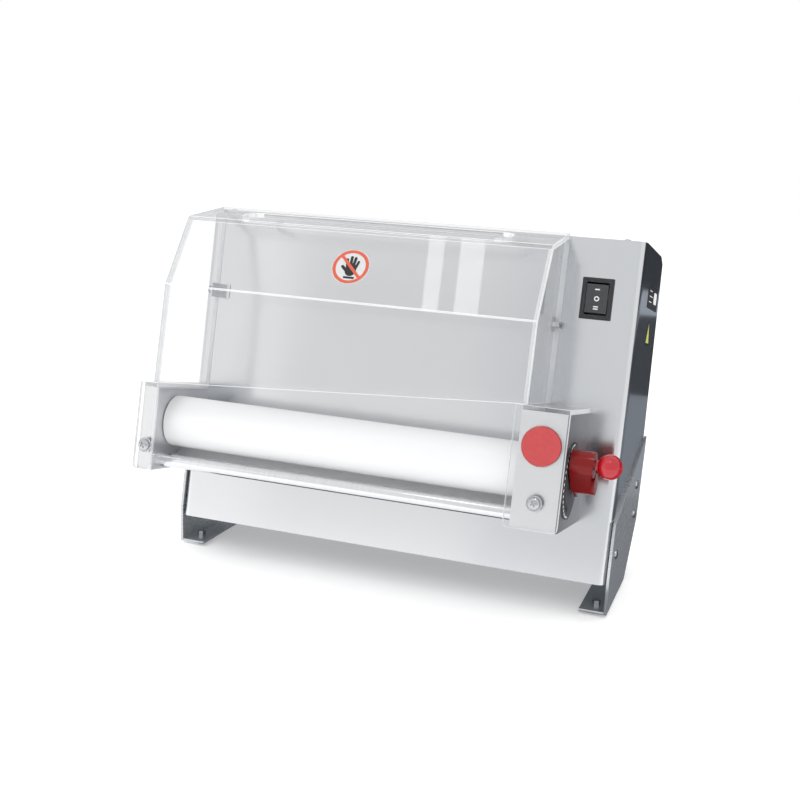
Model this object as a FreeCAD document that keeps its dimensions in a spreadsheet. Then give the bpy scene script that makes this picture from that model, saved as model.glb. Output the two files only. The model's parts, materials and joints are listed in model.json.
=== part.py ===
import FreeCAD, Part
import math
import os
import re

import Sketcher
from FreeCAD import Placement, Rotation, Vector

# Countertop dough sheeter: a stainless body that leans back on two skid feet, a pair of
# white rollers held between two end blocks, a clear guard over them, a gap lever on the
# right end block and a gearmotor inside.
# The body frame is x to the right, d rearward from the front panel and h up along it.

doc = FreeCAD.newDocument("DoughSheeter")

SIZES = [
    ("body_width", 504, "across the stainless body"),
    ("body_height", 363, "front panel, along its slope"),
    ("lean", 10, "backward lean of the front panel, degrees"),
    ("top_depth", 142, "flat part of the top, front to rear"),
    ("chamfer_run", 20, "rear top chamfer, front to rear"),
    ("chamfer_drop", 7, "rear top chamfer, downward"),
    ("rear_spread", 32, "how much deeper the rear is at its foot"),
    ("rear_foot_height", 56, "rear lower corner above the front lower edge"),
    ("belly_depth", 160, "level part of the underside, front to rear"),
    ("sheet_wall", 1.5, "stainless sheet"),
    ("bend_radius", 10, "outside bend between the front and the sides"),
    ("seam", 0.3, "gap round a loose cover"),
    ("foot_height", 37, "floor to the front lower edge"),
    ("skid_wall", 3, "skid plate"),
    ("skid_flange", 30, "inward flange of the skid"),
    ("skid_front", 10, "front end of the flange behind the front panel"),
    ("skid_rear", 129, "rear end of the flange behind the front panel"),
    ("skid_rise", 66, "skid's front upper corner"),
    ("skid_back_rise", 153, "skid's rear upper corner"),
    ("pad_height", 3, "rubber pad under the skid"),
    ("pad_radius", 10, "rubber pad"),
    ("left_cam_room", 6, "left block beside its bearing plate, for the cam and the cover"),
    ("right_block_width", 48, "right end block"),
    ("switch_margin", 38, "panel left free on the right for the switch"),
    ("block_drop", 53.7, "end blocks below the front roller's axis"),
    ("left_block_rise", 36.8, "left block above the front roller's axis"),
    ("right_block_rise", 62.3, "right block above the front roller's axis"),
    ("front_rim", 9.6, "front of the block to the carrier window"),
    ("block_skin", 2, "sheet of the end block covers"),
    ("roller_radius", 28, "both rollers"),
    ("front_axis_height", 116.7, "front roller's axis up the panel"),
    ("rear_axis_reach", 15.7, "rear roller's axis in front of the panel"),
    ("nip_tilt", 7, "how far the rear roller sits below, degrees"),
    ("least_gap", 0.6, "rollers at their closest"),
    ("gap_travel", 5, "how far the front roller opens"),
    ("end_gap", 0.5, "roller end to block"),
    ("tube_radius", 17.5, "front roller's hollow journal"),
    ("tube_bore", 13.5, "inside of the hollow journal"),
    ("shaft_radius", 7.5, "rear roller's shaft"),
    ("fit_gap", 0.05, "running fit, each side"),
    ("carrier_bearing", 23.5, "outer radius of the front roller's bearings"),
    ("carrier_rim", 4, "carrier round its bearing"),
    ("carrier_gap", 0.3, "carrier in its window"),
    ("rear_bearing", 14, "outer radius of the rear roller's bearings"),
    ("plate_wall", 12, "bearing plates"),
    ("gear_width", 10, "roller gears"),
    ("gear_teeth", 19, "teeth on each roller gear"),
    ("tooth_rise", 3.2, "tooth above the pitch circle"),
    ("tooth_depth", 3.8, "tooth below the pitch circle"),
    ("cam_radius", 14, "gap cam disc"),
    ("cam_wall", 3.2, "gap cam disc, thickness"),
    ("lever_turn", 120, "travel of the gap lever, degrees"),
    ("lever_drop", 4.3, "lever axis below the front roller's axis"),
    ("cross_radius", 5, "cross shaft of the gap lever"),
    ("lever_angle", 135, "lever arm at rest, from the rear, degrees"),
    ("lever_arm", 29, "lever axis to knob axis"),
    ("hub_radius", 11, "lever hub"),
    ("boss_radius", 13, "lever boss round the knob's pin"),
    ("lever_depth", 23, "lever, along its axis"),
    ("ball_radius", 12.5, "ball knob"),
    ("knob_travel", 5, "pull of the knob"),
    ("pin_radius", 3, "index pin"),
    ("dial_radius", 39, "index dial"),
    ("dial_wall", 1.2, "index dial"),
    ("rod_radius", 7.4, "tie rod"),
    ("rod_reach", 86.3, "tie rod in front of the panel"),
    ("rod_height", 73.2, "tie rod up the panel"),
    ("blade_wall", 1.5, "scraper blades"),
    ("blade_gap", 0.6, "scraper to roller"),
    ("guard_wall", 5, "clear guard sheet"),
    ("guard_rise", 3, "guard above the top of the body"),
    ("guard_knee", 97, "guard's lower bend below the top of the body"),
    ("guard_brow", 19, "guard's upper bend below the top of the body"),
    ("brow_set", 38, "guard's upper bend behind its front"),
    ("knee_set", 2, "guard's lower bend behind its front"),
    ("slot_end_margin", 45, "feed slot to the end of the rollers"),
    ("slot_width", 36, "feed slot"),
    ("slot_set", 36, "guard's upper bend to the middle of the feed slot"),
    ("shoe_lip", 6, "right shoe past the inner face of its block"),
    ("screw_radius", 3, "guard screw's thread"),
    ("screw_height", 90, "guard screws up the panel"),
    ("washer_radius", 8, "guard screw washers"),
    ("switch_width", 33.5, "switch bezel"),
    ("switch_height", 44, "switch bezel"),
    ("switch_drop", 63.6, "switch centre below the top of the body"),
    ("rocker_turn", 9, "rocker, each way, degrees"),
    ("button_radius", 19.5, "stop button"),
    ("button_height", 29.1, "stop button above the front roller's axis"),
    ("button_travel", 2.5, "stop button"),
    ("motor_set", 95, "gearmotor axis behind the panel"),
    ("motor_radius", 44, "motor"),
    ("motor_length", 150, "motor"),
    ("gearbox_size", 90, "gearbox, square"),
    ("gearbox_length", 60, "gearbox"),
    ("belt_wall", 3, "belt"),
    ("belt_width", 8, "belt"),
    ("roller_pulley", 20, "pulley on the rear roller"),
    ("motor_pulley", 12, "pulley on the gearmotor"),
]

sheet = doc.addObject("Spreadsheet::Sheet", "Sizes")
for row, (name, size, note) in enumerate(SIZES, start=1):
    sheet.set(f"A{row}", note)
    sheet.set(f"B{row}", str(size))
    sheet.setAlias(f"B{row}", name)
doc.recompute()
ALIASES = re.compile(r"\b(" + "|".join(name for name, _, _ in SIZES) + r")\b")


def bind(text):
    """An expression in plain size names, as the document's own expression."""
    return ALIASES.sub(r"Sizes.\1", str(text))


def number(text):
    """The present value of an expression in size names."""
    return float(sheet.evalExpression(bind(text)))


def point(d, h):
    return Vector(0, number(d), number(h))


# Places that several pieces share, each worked out from the sizes above.
HALF = "(body_width / 2)"
INNER = f"({HALF} - sheet_wall)"
LEFT_WIDTH = "(plate_wall + left_cam_room)"
LEFT_IN = f"(-{HALF} + {LEFT_WIDTH})"
RIGHT_OUT = f"({HALF} - switch_margin)"
RIGHT_IN = f"({RIGHT_OUT} - right_block_width)"
CENTRES = "(2 * roller_radius + least_gap)"
REAR_D = "(-rear_axis_reach)"
REAR_H = f"(front_axis_height - sin(nip_tilt) * {CENTRES})"
FRONT_D = f"({REAR_D} - cos(nip_tilt) * {CENTRES})"
FRONT_H = "front_axis_height"
CARRIER = "(carrier_bearing + carrier_rim)"
BLOCK_D = f"({FRONT_D} - {CARRIER} - gap_travel - front_rim)"
BLOCK_LOW = f"({FRONT_H} - block_drop)"
LEFT_TOP = f"({FRONT_H} + left_block_rise)"
RIGHT_TOP = f"({FRONT_H} + right_block_rise)"
LEVER_D = f"({FRONT_D} - gap_travel / 2)"
LEVER_H = f"({FRONT_H} - lever_drop)"
GUARD_D = f"({BLOCK_D} - guard_wall)"
REAR_TOP = ("(top_depth + chamfer_run)", "(body_height - chamfer_drop)")
REAR_LOW = (f"({REAR_TOP[0]} + rear_spread)", "rear_foot_height")
BELLY = ("belly_depth", "(belly_depth * tan(lean))")
WINDOW_HALF = "(carrier_bearing + carrier_rim + 0.5)"
LEFT_PLATE = f"({LEFT_IN} - plate_wall)"
RIGHT_PLATE = f"({RIGHT_IN} + right_block_width / 2 - plate_wall / 2 - 0.5)"
GEAR_X = f"({RIGHT_IN} + block_skin + 2)"
PULLEY_X = f"({RIGHT_OUT} - block_skin - belt_width - 4)"

parts = []


def keep(piece, label):
    """Give a finished piece its name and add it to the list of sub-parts."""
    piece.Label = label
    parts.append(piece)
    return piece


def helper(kind, name):
    return doc.addObject(kind, name)


# ------------------------------------------------------------ plain solids, bound to the sheet
def box(x, d, h, length, depth, height, name="Block"):
    piece = helper("Part::Box", name)
    sizes = {"Placement.Base.x": x, "Placement.Base.y": d, "Placement.Base.z": h,
             "Length": length, "Width": depth, "Height": height}
    for field, text in sizes.items():
        piece.setExpression(field, bind(text))
    return piece


AXES = {"x": Rotation(Vector(0, 1, 0), 90), "d": Rotation(Vector(1, 0, 0), -90), "h": Rotation()}


def rod(x, d, h, radius, length, along="x", name="Rod"):
    piece = helper("Part::Cylinder", name)
    piece.Placement = Placement(Vector(), AXES[along])
    sizes = {"Placement.Base.x": x, "Placement.Base.y": d, "Placement.Base.z": h,
             "Radius": radius, "Height": length}
    for field, text in sizes.items():
        piece.setExpression(field, bind(text))
    return piece


def join(*pieces):
    piece = helper("Part::MultiFuse", "Join")
    piece.Shapes = list(pieces)
    return piece


def cut(base, *tools):
    piece = helper("Part::Cut", "Cut")
    piece.Base = base
    piece.Tool = tools[0] if len(tools) == 1 else join(*tools)
    return piece


def group(*pieces):
    """Separate solids that share one node."""
    piece = helper("Part::Compound", "Group")
    piece.Links = list(pieces)
    return piece


def ring(x, d, h, outer, bore, length, along="x"):
    return cut(rod(x, d, h, outer, length, along), rod(x, d, h, bore, length, along))


# ------------------------------------------------------------ sketched features
PLANES = {"side": "YZ_Plane", "front": "XZ_Plane", "plan": "XY_Plane"}


def origin(body, role):
    return next(item for item in body.Origin.OriginFeatures if item.Role == role)


def new_body(name):
    return doc.addObject("PartDesign::Body", name)


def sketch(body, plane, offset="0", outlines=(), circles=()):
    """A fully constrained sketch: closed outlines of straight runs, and circles."""
    drawing = body.newObject("Sketcher::SketchObject", "Outline")
    drawing.AttachmentSupport = [(origin(body, PLANES[plane]), "")]
    drawing.MapMode = "FlatFace"
    drawing.setExpression("AttachmentOffset.Base.z", bind(offset))

    def place(curve, end, u, v):
        for kind, text in (("DistanceX", u), ("DistanceY", v)):
            index = drawing.addConstraint(Sketcher.Constraint(kind, -1, 1, curve, end, number(text)))
            drawing.setExpression(f"Constraints[{index}]", bind(text))

    for outline in outlines:
        spots = [Vector(number(u), number(v), 0) for u, v in outline]
        runs = []
        for index, spot in enumerate(spots):
            after = spots[(index + 1) % len(spots)]
            runs.append(drawing.addGeometry(Part.LineSegment(spot, after), False))
        for index, run in enumerate(runs):
            follower = runs[(index + 1) % len(runs)]
            drawing.addConstraint(Sketcher.Constraint("Coincident", run, 2, follower, 1))
            place(run, 1, *outline[index])
    for u, v, radius in circles:
        shape = Part.Circle(Vector(number(u), number(v), 0), Vector(0, 0, 1), number(radius))
        curve = drawing.addGeometry(shape, False)
        place(curve, 3, u, v)
        index = drawing.addConstraint(Sketcher.Constraint("Radius", curve, number(radius)))
        drawing.setExpression(f"Constraints[{index}]", bind(radius))
    return drawing


def pad(body, plane, length, offset="0", outlines=(), circles=(), middle=False, back=False):
    drawing = sketch(body, plane, offset, outlines, circles)
    feature = body.newObject("PartDesign::Pad", "Pad")
    feature.Profile = drawing
    feature.setExpression("Length", bind(length))
    feature.Midplane = middle
    feature.Reversed = back
    doc.recompute()
    return feature


def pocket(body, plane, length, offset="0", outlines=(), circles=(), middle=False, back=False):
    """A pocket, which has to take material away."""
    before = body.Shape.Volume
    drawing = sketch(body, plane, offset, outlines, circles)
    feature = body.newObject("PartDesign::Pocket", "Pocket")
    feature.Profile = drawing
    feature.setExpression("Length", bind(length))
    feature.Midplane = middle
    feature.Reversed = back
    doc.recompute()
    if body.Shape.Volume > before - 1e-6:
        raise ValueError(f"a pocket in {body.Name} cuts nothing")
    return feature


def round_edges(body, radius, wanted):
    """Round the edges of the body that the test picks by their end points."""
    base = body.Tip
    names = []
    for index, edge in enumerate(base.Shape.Edges, start=1):
        ends = [vertex.Point for vertex in edge.Vertexes]
        if len(ends) == 2 and wanted(*ends):
            names.append(f"Edge{index}")
    if not names:
        raise ValueError(f"no edge to round in {body.Name}")
    feature = body.newObject("PartDesign::Fillet", "Round")
    feature.Base = (base, names)
    feature.setExpression("Radius", bind(radius))
    doc.recompute()
    return feature


def near(a, b):
    return abs(a - b) < 1e-4


def rectangle(u1, v1, u2, v2):
    return [(u1, v1), (u2, v1), (u2, v2), (u1, v2)]


# ============================================================ body
def body_shell():
    """Front panel and both sides, one bent sheet, trimmed to the side outline."""
    body = new_body("BodyShell")
    reach = f"({REAR_LOW[0]} + 4)"
    outline = [(f"-{HALF}", "0"), (HALF, "0"), (HALF, reach), (INNER, reach),
               (INNER, "sheet_wall"), (f"-{INNER}", "sheet_wall"),
               (f"-{INNER}", reach), (f"-{HALF}", reach)]
    pad(body, "plan", "body_height", outlines=[outline])
    half = number(HALF)
    wall = number("sheet_wall")

    def corner(side, depth):
        def test(a, b):
            return near(a.x, b.x) and near(abs(a.x), side) and near(a.y, depth) and near(b.y, depth)
        return test

    round_edges(body, "(bend_radius - sheet_wall)", corner(half - wall, wall))
    round_edges(body, "bend_radius", corner(half, 0))
    far = f"({REAR_LOW[0]} + 20)"
    high = "(body_height + 10)"
    behind = [("top_depth", "body_height"), REAR_TOP, REAR_LOW, (far, REAR_LOW[1]),
              (far, high), ("top_depth", high)]
    below = [("0", "0"), BELLY, REAR_LOW, (far, REAR_LOW[1]), (far, "-10"), ("0", "-10")]
    for trim in (behind, below):
        pocket(body, "side", "(body_width + 20)", outlines=[trim], middle=True)
    half_cut = "(sqrt(roller_radius ^ 2 - rear_axis_reach ^ 2) + 1.6)"
    window = rectangle(LEFT_IN, f"({REAR_H} - {half_cut})", f"({RIGHT_IN} + 1)", f"({REAR_H} + {half_cut})")
    half_drive = f"({CENTRES} / 2 + tooth_rise)"
    drive = rectangle(f"({RIGHT_IN} + block_skin)", f"({REAR_H} - {half_drive})",
                      f"({RIGHT_OUT} - block_skin)", f"({REAR_H} + {half_drive})")
    middle = ("(body_width / 2 - 45.1)", "(body_height - switch_drop)")
    switch = rectangle(f"({middle[0]} - switch_width / 2 + 3)", f"({middle[1]} - switch_height / 2 + 3)",
                       f"({middle[0]} + switch_width / 2 - 3)", f"({middle[1]} + switch_height / 2 - 3)")
    for opening in (window, drive, switch):
        pocket(body, "front", "(sheet_wall + 2)", offset="1", outlines=[opening])
    return keep(body, "body_shell")


SWITCH_X = "(body_width / 2 - 45.1)"
SWITCH_H = "(body_height - switch_drop)"
COVER_HALF = f"({INNER} - seam)"


def round_front_corners(body):
    """Follow the bend of the shell at a cover's two front corners."""
    half = number(COVER_HALF)
    front = number("(sheet_wall + seam)")

    def corner(a, b):
        return near(a.x, b.x) and near(abs(a.x), half) and near(a.y, front) and near(b.y, front)

    round_edges(body, "(bend_radius - sheet_wall - seam)", corner)


def top_cover():
    """Loose lid with the rear chamfer folded down."""
    body = new_body("TopCover")
    start = "(sheet_wall + seam)"
    outline = [(start, "body_height"), ("top_depth", "body_height"), REAR_TOP,
               (f"({REAR_TOP[0]} - sheet_wall * 0.7)", f"({REAR_TOP[1]} - sheet_wall)"),
               ("(top_depth - sheet_wall * 0.2)", "(body_height - sheet_wall)"),
               (start, "(body_height - sheet_wall)")]
    pad(body, "side", f"(2 * {COVER_HALF})", outlines=[outline], middle=True)
    screws = [(f"({side} * (body_width / 2 - 22))", d, "2.1") for side in (-1, 1) for d in TOP_SCREW_D]
    pocket(body, "plan", "(sheet_wall + 4)", offset="(body_height + 2)", circles=screws)
    round_front_corners(body)
    return keep(body, "top_cover")


TOP_SCREW_D = ("12", "(top_depth - 12)")


def base_plate():
    """Underside, level with the floor, folded up at the rear."""
    body = new_body("BasePlate")
    start = "(sheet_wall + seam)"
    outline = [(start, f"({start} * tan(lean))"), BELLY, REAR_LOW,
               (f"({REAR_LOW[0]} - sheet_wall * 1.58)", REAR_LOW[1]),
               (f"({BELLY[0]} - sheet_wall * 0.4)",
                f"(({BELLY[0]} - sheet_wall * 0.4) * tan(lean) + sheet_wall)"),
               (start, f"({start} * tan(lean) + sheet_wall)")]
    pad(body, "side", f"(2 * {COVER_HALF})", outlines=[outline], middle=True)
    round_front_corners(body)
    return keep(body, "base_plate")


REAR_TILT = f"atan(rear_spread / ({REAR_TOP[1]} - rear_foot_height))"
REAR_LENGTH = f"(sqrt(rear_spread ^ 2 + ({REAR_TOP[1]} - rear_foot_height) ^ 2) - 2.5)"
TILTED = Placement(point(*REAR_LOW), Rotation(Vector(1, 0, 0), number(REAR_TILT)))


def rear(piece):
    """Turn a piece that is laid out flat, x across and z up, onto the rear panel."""
    piece.Placement = TILTED
    return piece


def rear_cover():
    """Flat rear panel with two banks of louvre slots and a cable hole."""
    body = new_body("RearCover")
    sheet_outline = rectangle(f"-{COVER_HALF}", "0.5", COVER_HALF, REAR_LENGTH)
    holes = [(x, v, "2.1") for x, v in REAR_SCREWS] + [(GLAND_X, GLAND_V, "8.2")]
    pad(body, "front", "sheet_wall", outlines=[sheet_outline], circles=holes)
    banks = []
    for left in (-150, 40):
        start = f"({left} * body_width / 504)"
        banks.append(rectangle(start, "120", f"({start} + 110)", "125"))
    slots = pocket(body, "front", "(sheet_wall + 2)", offset="-1", outlines=banks, back=True)
    rows = body.newObject("PartDesign::LinearPattern", "LouvreRows")
    rows.Originals = [slots]
    rows.Direction = (slots.Profile[0], ["V_Axis"])
    rows.Length = 112
    rows.Occurrences = 9
    body.Tip = rows
    doc.recompute()
    return keep(rear(body), "rear_cover")


REAR_SCREWS = [(f"({side} * (body_width / 2 - 12))", v)
               for side in (-1, 1) for v in ("25", "(body_height / 2 - 20)", f"({REAR_LENGTH} - 25)")]
GLAND_X = "(-body_width / 2 + 70)"
GLAND_V = "45"


def pan_screw(x, d, h, radius, length, along, sign):
    """Pan-head screw: its head stands on the surface and its shank goes in."""
    head = {"x": "0", "d": "0", "h": "0"}
    head[along] = "2.4" if sign < 0 else "0"
    shank = dict(head)
    shank[along] = "0" if sign < 0 else f"({length})"
    top = rod(f"({x} - {head['x']})", f"({d} - {head['d']})", f"({h} - {head['h']})",
              f"({radius} * 2)", "2.4", along, "Head")
    stem = rod(f"({x} - {shank['x']})", f"({d} - {shank['d']})", f"({h} - {shank['h']})",
               radius, length, along, "Shank")
    return join(top, stem)


def cover_fasteners():
    """Screws of the lid and the rear panel, and the tabs that they go into."""
    screws = []
    tabs = []
    for side in (-1, 1):
        middle = f"({side} * (body_width / 2 - 22))"
        front, back = TOP_SCREW_D
        start = f"(-{INNER})" if side < 0 else f"({INNER} - 30)"
        for d, tab_x, tab_d, width in ((front, f"({middle} - 10)", "sheet_wall", "20"),
                                       (back, start, f"({back} - 8)", "30")):
            screws.append(pan_screw(middle, d, "body_height", "2", "(sheet_wall + 8)", "h", 1))
            low = "(body_height - sheet_wall - 10)"
            tab = box(tab_x, tab_d, low, width, "16", "10")
            tabs.append(cut(tab, rod(middle, d, low, "(2 + fit_gap)", "10", "h")))
    rear_screws = []
    rear_tabs = []
    for x, v in REAR_SCREWS:
        start = f"(-{INNER})" if number(x) < 0 else f"({INNER} - 20)"
        rear_screws.append(pan_screw(x, "0", v, "2", "(sheet_wall + 8)", "d", 1))
        low = "(-sheet_wall - 10)"
        tab = box(start, low, f"({v} - 8)", "20", "10", "16")
        rear_tabs.append(cut(tab, rod(x, low, v, "(2 + fit_gap)", "10", "d")))
    keep(group(*screws, rear(group(*rear_screws))), "cover_screws")
    keep(group(*tabs, rear(group(*rear_tabs))), "cover_tabs")


def cable_gland():
    """Threaded gland in the rear panel with its inside nut."""
    hexagon = []
    for index in range(6):
        angle = 60 * index
        hexagon.append((f"({GLAND_X} + 12 * cos({angle}))", f"({GLAND_V} + 12 * sin({angle}))"))
    body = new_body("CableGland")
    pad(body, "front", "6", outlines=[hexagon], back=True)
    pad(body, "front", "16", offset="-16", circles=[(GLAND_X, GLAND_V, "9")])
    pad(body, "front", "(sheet_wall + 8)", circles=[(GLAND_X, GLAND_V, "8")])
    pocket(body, "front", "40", offset="-20", circles=[(GLAND_X, GLAND_V, "4")], back=True)
    nut = new_body("GlandNut")
    pad(nut, "front", "5", offset="sheet_wall", outlines=[hexagon],
        circles=[(GLAND_X, GLAND_V, "(8 + fit_gap)")])
    keep(rear(group(body, nut)), "cable_gland")


# ============================================================ feet
def floor_line(d, lift="0"):
    """The floor in the body frame below a depth, or a plane above it."""
    return f"((({lift}) - foot_height) / cos(lean) + ({d}) * tan(lean))"


def skid(side):
    """Bent skid: a plate on the body's side and a flange along the floor."""
    body = new_body("LeftSkid" if side < 0 else "RightSkid")
    low = "pad_height"
    plate = [("0.5", "skid_rise"), ("0.5", "8"), ("skid_front", floor_line("skid_front", low)),
             ("skid_rear", floor_line("skid_rear", low)), ("(rear_foot_height + 128)", "(rear_foot_height - 2)"),
             ("(rear_foot_height + 132)", "skid_back_rise")]
    start = f"(-{HALF} - skid_wall)" if side < 0 else HALF
    pad(body, "side", "skid_wall", offset=start, outlines=[plate])
    high = "(pad_height + skid_wall)"
    flange = [("skid_front", floor_line("skid_front", low)), ("skid_rear", floor_line("skid_rear", low)),
              ("skid_rear", floor_line("skid_rear", high)), ("skid_front", floor_line("skid_front", high))]
    start = f"(-{HALF} - skid_wall)" if side < 0 else f"({HALF} + skid_wall - skid_flange)"
    pad(body, "side", "skid_flange", offset=start, outlines=[flange])
    holes = [(d, h, "(2.5 + fit_gap)") for d, h in SKID_SCREWS]
    start = f"(-{HALF} - skid_wall - 1)" if side < 0 else f"({HALF} - 1)"
    pocket(body, "side", "(skid_wall + 2)", offset=start, circles=holes, back=True)
    return keep(body, "left_skid" if side < 0 else "right_skid")


SKID_SCREWS = [("142", "98"), ("148", "63"), ("27", "31")]


def skid_fasteners():
    screws = []
    for side in (-1, 1):
        face = f"({side} * ({HALF} + skid_wall))"
        for d, h in SKID_SCREWS:
            screws.append(pan_screw(face, d, h, "2.5", "(skid_wall - 0.1)", "x", side))
    keep(group(*screws), "skid_screws")
    pads = []
    bolts = []
    flange = f"({HALF} + skid_wall - skid_flange / 2)"
    for side in (-1, 1):
        for y in ("(skid_front + 18)", "(skid_rear - 18)"):
            pads.append(rod(f"({side} * {flange})", y, "0", "pad_radius", "pad_height", "h", "Pad"))
            bolts.append(rod(f"({side} * {flange})", y, "(pad_height + skid_wall)", "5", "5", "h", "Bolt"))
    for label, pieces in (("rubber_feet", pads), ("foot_bolts", bolts)):
        keep(on_floor(group(*pieces)), label)


level = []


def on_floor(piece):
    """Mark a piece that stands square to the floor instead of to the body."""
    level.append(piece)
    return piece


# ============================================================ end blocks
def obround(x, d, h, radius, travel, length):
    """A slot along d, as a tool: two round ends and the straight run between."""
    return join(rod(x, d, h, radius, length), rod(x, f"({d} - {travel})", h, radius, length),
                box(x, f"({d} - {travel})", f"({h} - {radius})", length, travel, f"(2 * {radius})"))


def left_block():
    """Left cover and the plate that carries the rollers' left ends."""
    shell = box(f"-{HALF}", BLOCK_D, BLOCK_LOW, LEFT_WIDTH, f"(-{BLOCK_D})",
                f"({LEFT_TOP} - {BLOCK_LOW})")
    hollow = box(f"(-{HALF} + block_skin)", f"({BLOCK_D} + block_skin)", f"({BLOCK_LOW} + block_skin)",
                 LEFT_WIDTH, f"(-{BLOCK_D})", f"({LEFT_TOP} - {BLOCK_LOW} - 2 * block_skin)")
    bush_hole = rod(f"-{HALF}", LEVER_D, LEVER_H, "(cross_radius + 2.5)", "block_skin")
    screw = rod(LEFT_SCREW_X, BLOCK_D, "screw_height", "(screw_radius + fit_gap)", "block_skin", "d")
    keep(cut(shell, hollow, bush_hole, screw), "left_block_cover")
    plate = box(LEFT_PLATE, f"({BLOCK_D} + block_skin)", f"({BLOCK_LOW} + block_skin)", "plate_wall",
                f"(-{BLOCK_D} - block_skin)", f"({LEFT_TOP} - {BLOCK_LOW} - 2 * block_skin)")
    deep = "(plate_wall - block_skin)"
    window = box(LEFT_PLATE, f"({FRONT_D} - {CARRIER} - gap_travel - 1)", f"({FRONT_H} - {WINDOW_HALF})",
                 deep, f"(2 * {CARRIER} + gap_travel + 1.3)", f"(2 * {WINDOW_HALF})")
    tube_slot = obround(LEFT_PLATE, FRONT_D, FRONT_H, "(tube_radius + 0.8)", "gap_travel", "plate_wall")
    bearing = rod(LEFT_PLATE, REAR_D, REAR_H, "rear_bearing", deep)
    shaft = rod(LEFT_PLATE, REAR_D, REAR_H, "(shaft_radius + 1)", "plate_wall")
    thread = rod(LEFT_SCREW_X, f"({BLOCK_D} + block_skin)", "screw_height",
                 "(screw_radius + fit_gap)", "5", "d")
    keep(cut(plate, window, tube_slot, bearing, shaft, thread), "left_bearing_plate")


LEFT_SCREW_X = f"({LEFT_IN} - plate_wall + 4.5)"
RIGHT_SCREW_X = f"({RIGHT_PLATE} + plate_wall / 2)"


def right_block():
    """Gear housing, its side cover with the dial, and the right bearing plate."""
    width = f"({RIGHT_OUT} - {RIGHT_IN} - block_skin)"
    rise = f"({RIGHT_TOP} - {BLOCK_LOW})"
    shell = box(RIGHT_IN, BLOCK_D, BLOCK_LOW, width, f"(-{BLOCK_D})", rise)
    hollow = box(f"({RIGHT_IN} + block_skin)", f"({BLOCK_D} + block_skin)", f"({BLOCK_LOW} + block_skin)",
                 width, f"(-{BLOCK_D})", f"({rise} - 2 * block_skin)")
    tube_slot = obround(RIGHT_IN, FRONT_D, FRONT_H, "(tube_radius + 0.8)", "gap_travel", "block_skin")
    shaft = rod(RIGHT_IN, REAR_D, REAR_H, "(shaft_radius + 1)", "block_skin")
    screw = rod(RIGHT_SCREW_X, BLOCK_D, "screw_height", "(screw_radius + fit_gap)", "block_skin", "d")
    stem = rod(STEM_X, BLOCK_D, BUTTON_H, "4.3", "block_skin", "d")
    guide = rod(GUIDE_X, BLOCK_D, BUTTON_H, "1.8", "block_skin", "d")
    keep(cut(shell, hollow, tube_slot, shaft, screw, stem, guide), "gear_housing")
    plate = box(RIGHT_PLATE, f"({BLOCK_D} + block_skin)", f"({BLOCK_LOW} + block_skin)", "plate_wall",
                f"(-{BLOCK_D} - block_skin)", f"({rise} - 2 * block_skin)")
    window = box(RIGHT_PLATE, f"({FRONT_D} - {CARRIER} - gap_travel - 1)", f"({FRONT_H} - {WINDOW_HALF})",
                 "plate_wall", f"(2 * {CARRIER} + gap_travel + 1.3)", f"(2 * {WINDOW_HALF})")
    bearing = rod(RIGHT_PLATE, REAR_D, REAR_H, "rear_bearing", "plate_wall")
    thread = rod(RIGHT_SCREW_X, f"({BLOCK_D} + block_skin)", "screw_height",
                 "(screw_radius + fit_gap)", "5", "d")
    keep(cut(plate, window, bearing, thread), "right_bearing_plate")
    lid = new_body("SideCover")
    pad(lid, "side", "block_skin", offset=f"({RIGHT_OUT} - block_skin)",
        outlines=[rectangle(BLOCK_D, BLOCK_LOW, "0", RIGHT_TOP)],
        circles=[(LEVER_D, LEVER_H, "(cross_radius + 3)")])
    keep(lid, "housing_side_cover")
    bush = join(rod(f"({RIGHT_OUT} - block_skin - 3)", LEVER_D, LEVER_H, "(cross_radius + 3)",
                    "(block_skin + 3)"),
                rod(f"({RIGHT_OUT} - block_skin - 3)", LEVER_D, LEVER_H, "(cross_radius + 5)", "3"))
    bore = rod(f"({RIGHT_OUT} - block_skin - 3)", LEVER_D, LEVER_H, "(cross_radius + fit_gap)",
               "(block_skin + 3)")
    left = ring(f"-{HALF}", LEVER_D, LEVER_H, "(cross_radius + 2.5)", "(cross_radius + fit_gap)",
                "block_skin")
    keep(group(left, cut(bush, bore)), "lever_bushes")


def dial():
    """Index dial round the lever axis, one hole for each gap setting."""
    body = new_body("Dial")
    pad(body, "side", "dial_wall", offset=RIGHT_OUT,
        circles=[(LEVER_D, LEVER_H, "dial_radius"), (LEVER_D, LEVER_H, "(cross_radius + 1)")])
    first = (f"({LEVER_D} + lever_arm * cos(lever_angle))", f"({LEVER_H} + lever_arm * sin(lever_angle))",
             "(pin_radius + 0.3)")
    hole = pocket(body, "side", "(dial_wall + 2)", offset=f"({RIGHT_OUT} - 1)", circles=[first], back=True)
    pivot = body.newObject("PartDesign::Line", "LeverAxis")
    pivot.Placement = Placement(point(LEVER_D, LEVER_H), Rotation(Vector(0, 1, 0), 90))
    settings = body.newObject("PartDesign::PolarPattern", "Settings")
    settings.Originals = [hole]
    settings.Axis = (pivot, [""])
    settings.setExpression("Angle", bind("lever_turn"))
    settings.Occurrences = 9
    body.Tip = settings
    doc.recompute()
    return keep(body, "index_dial")


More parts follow.
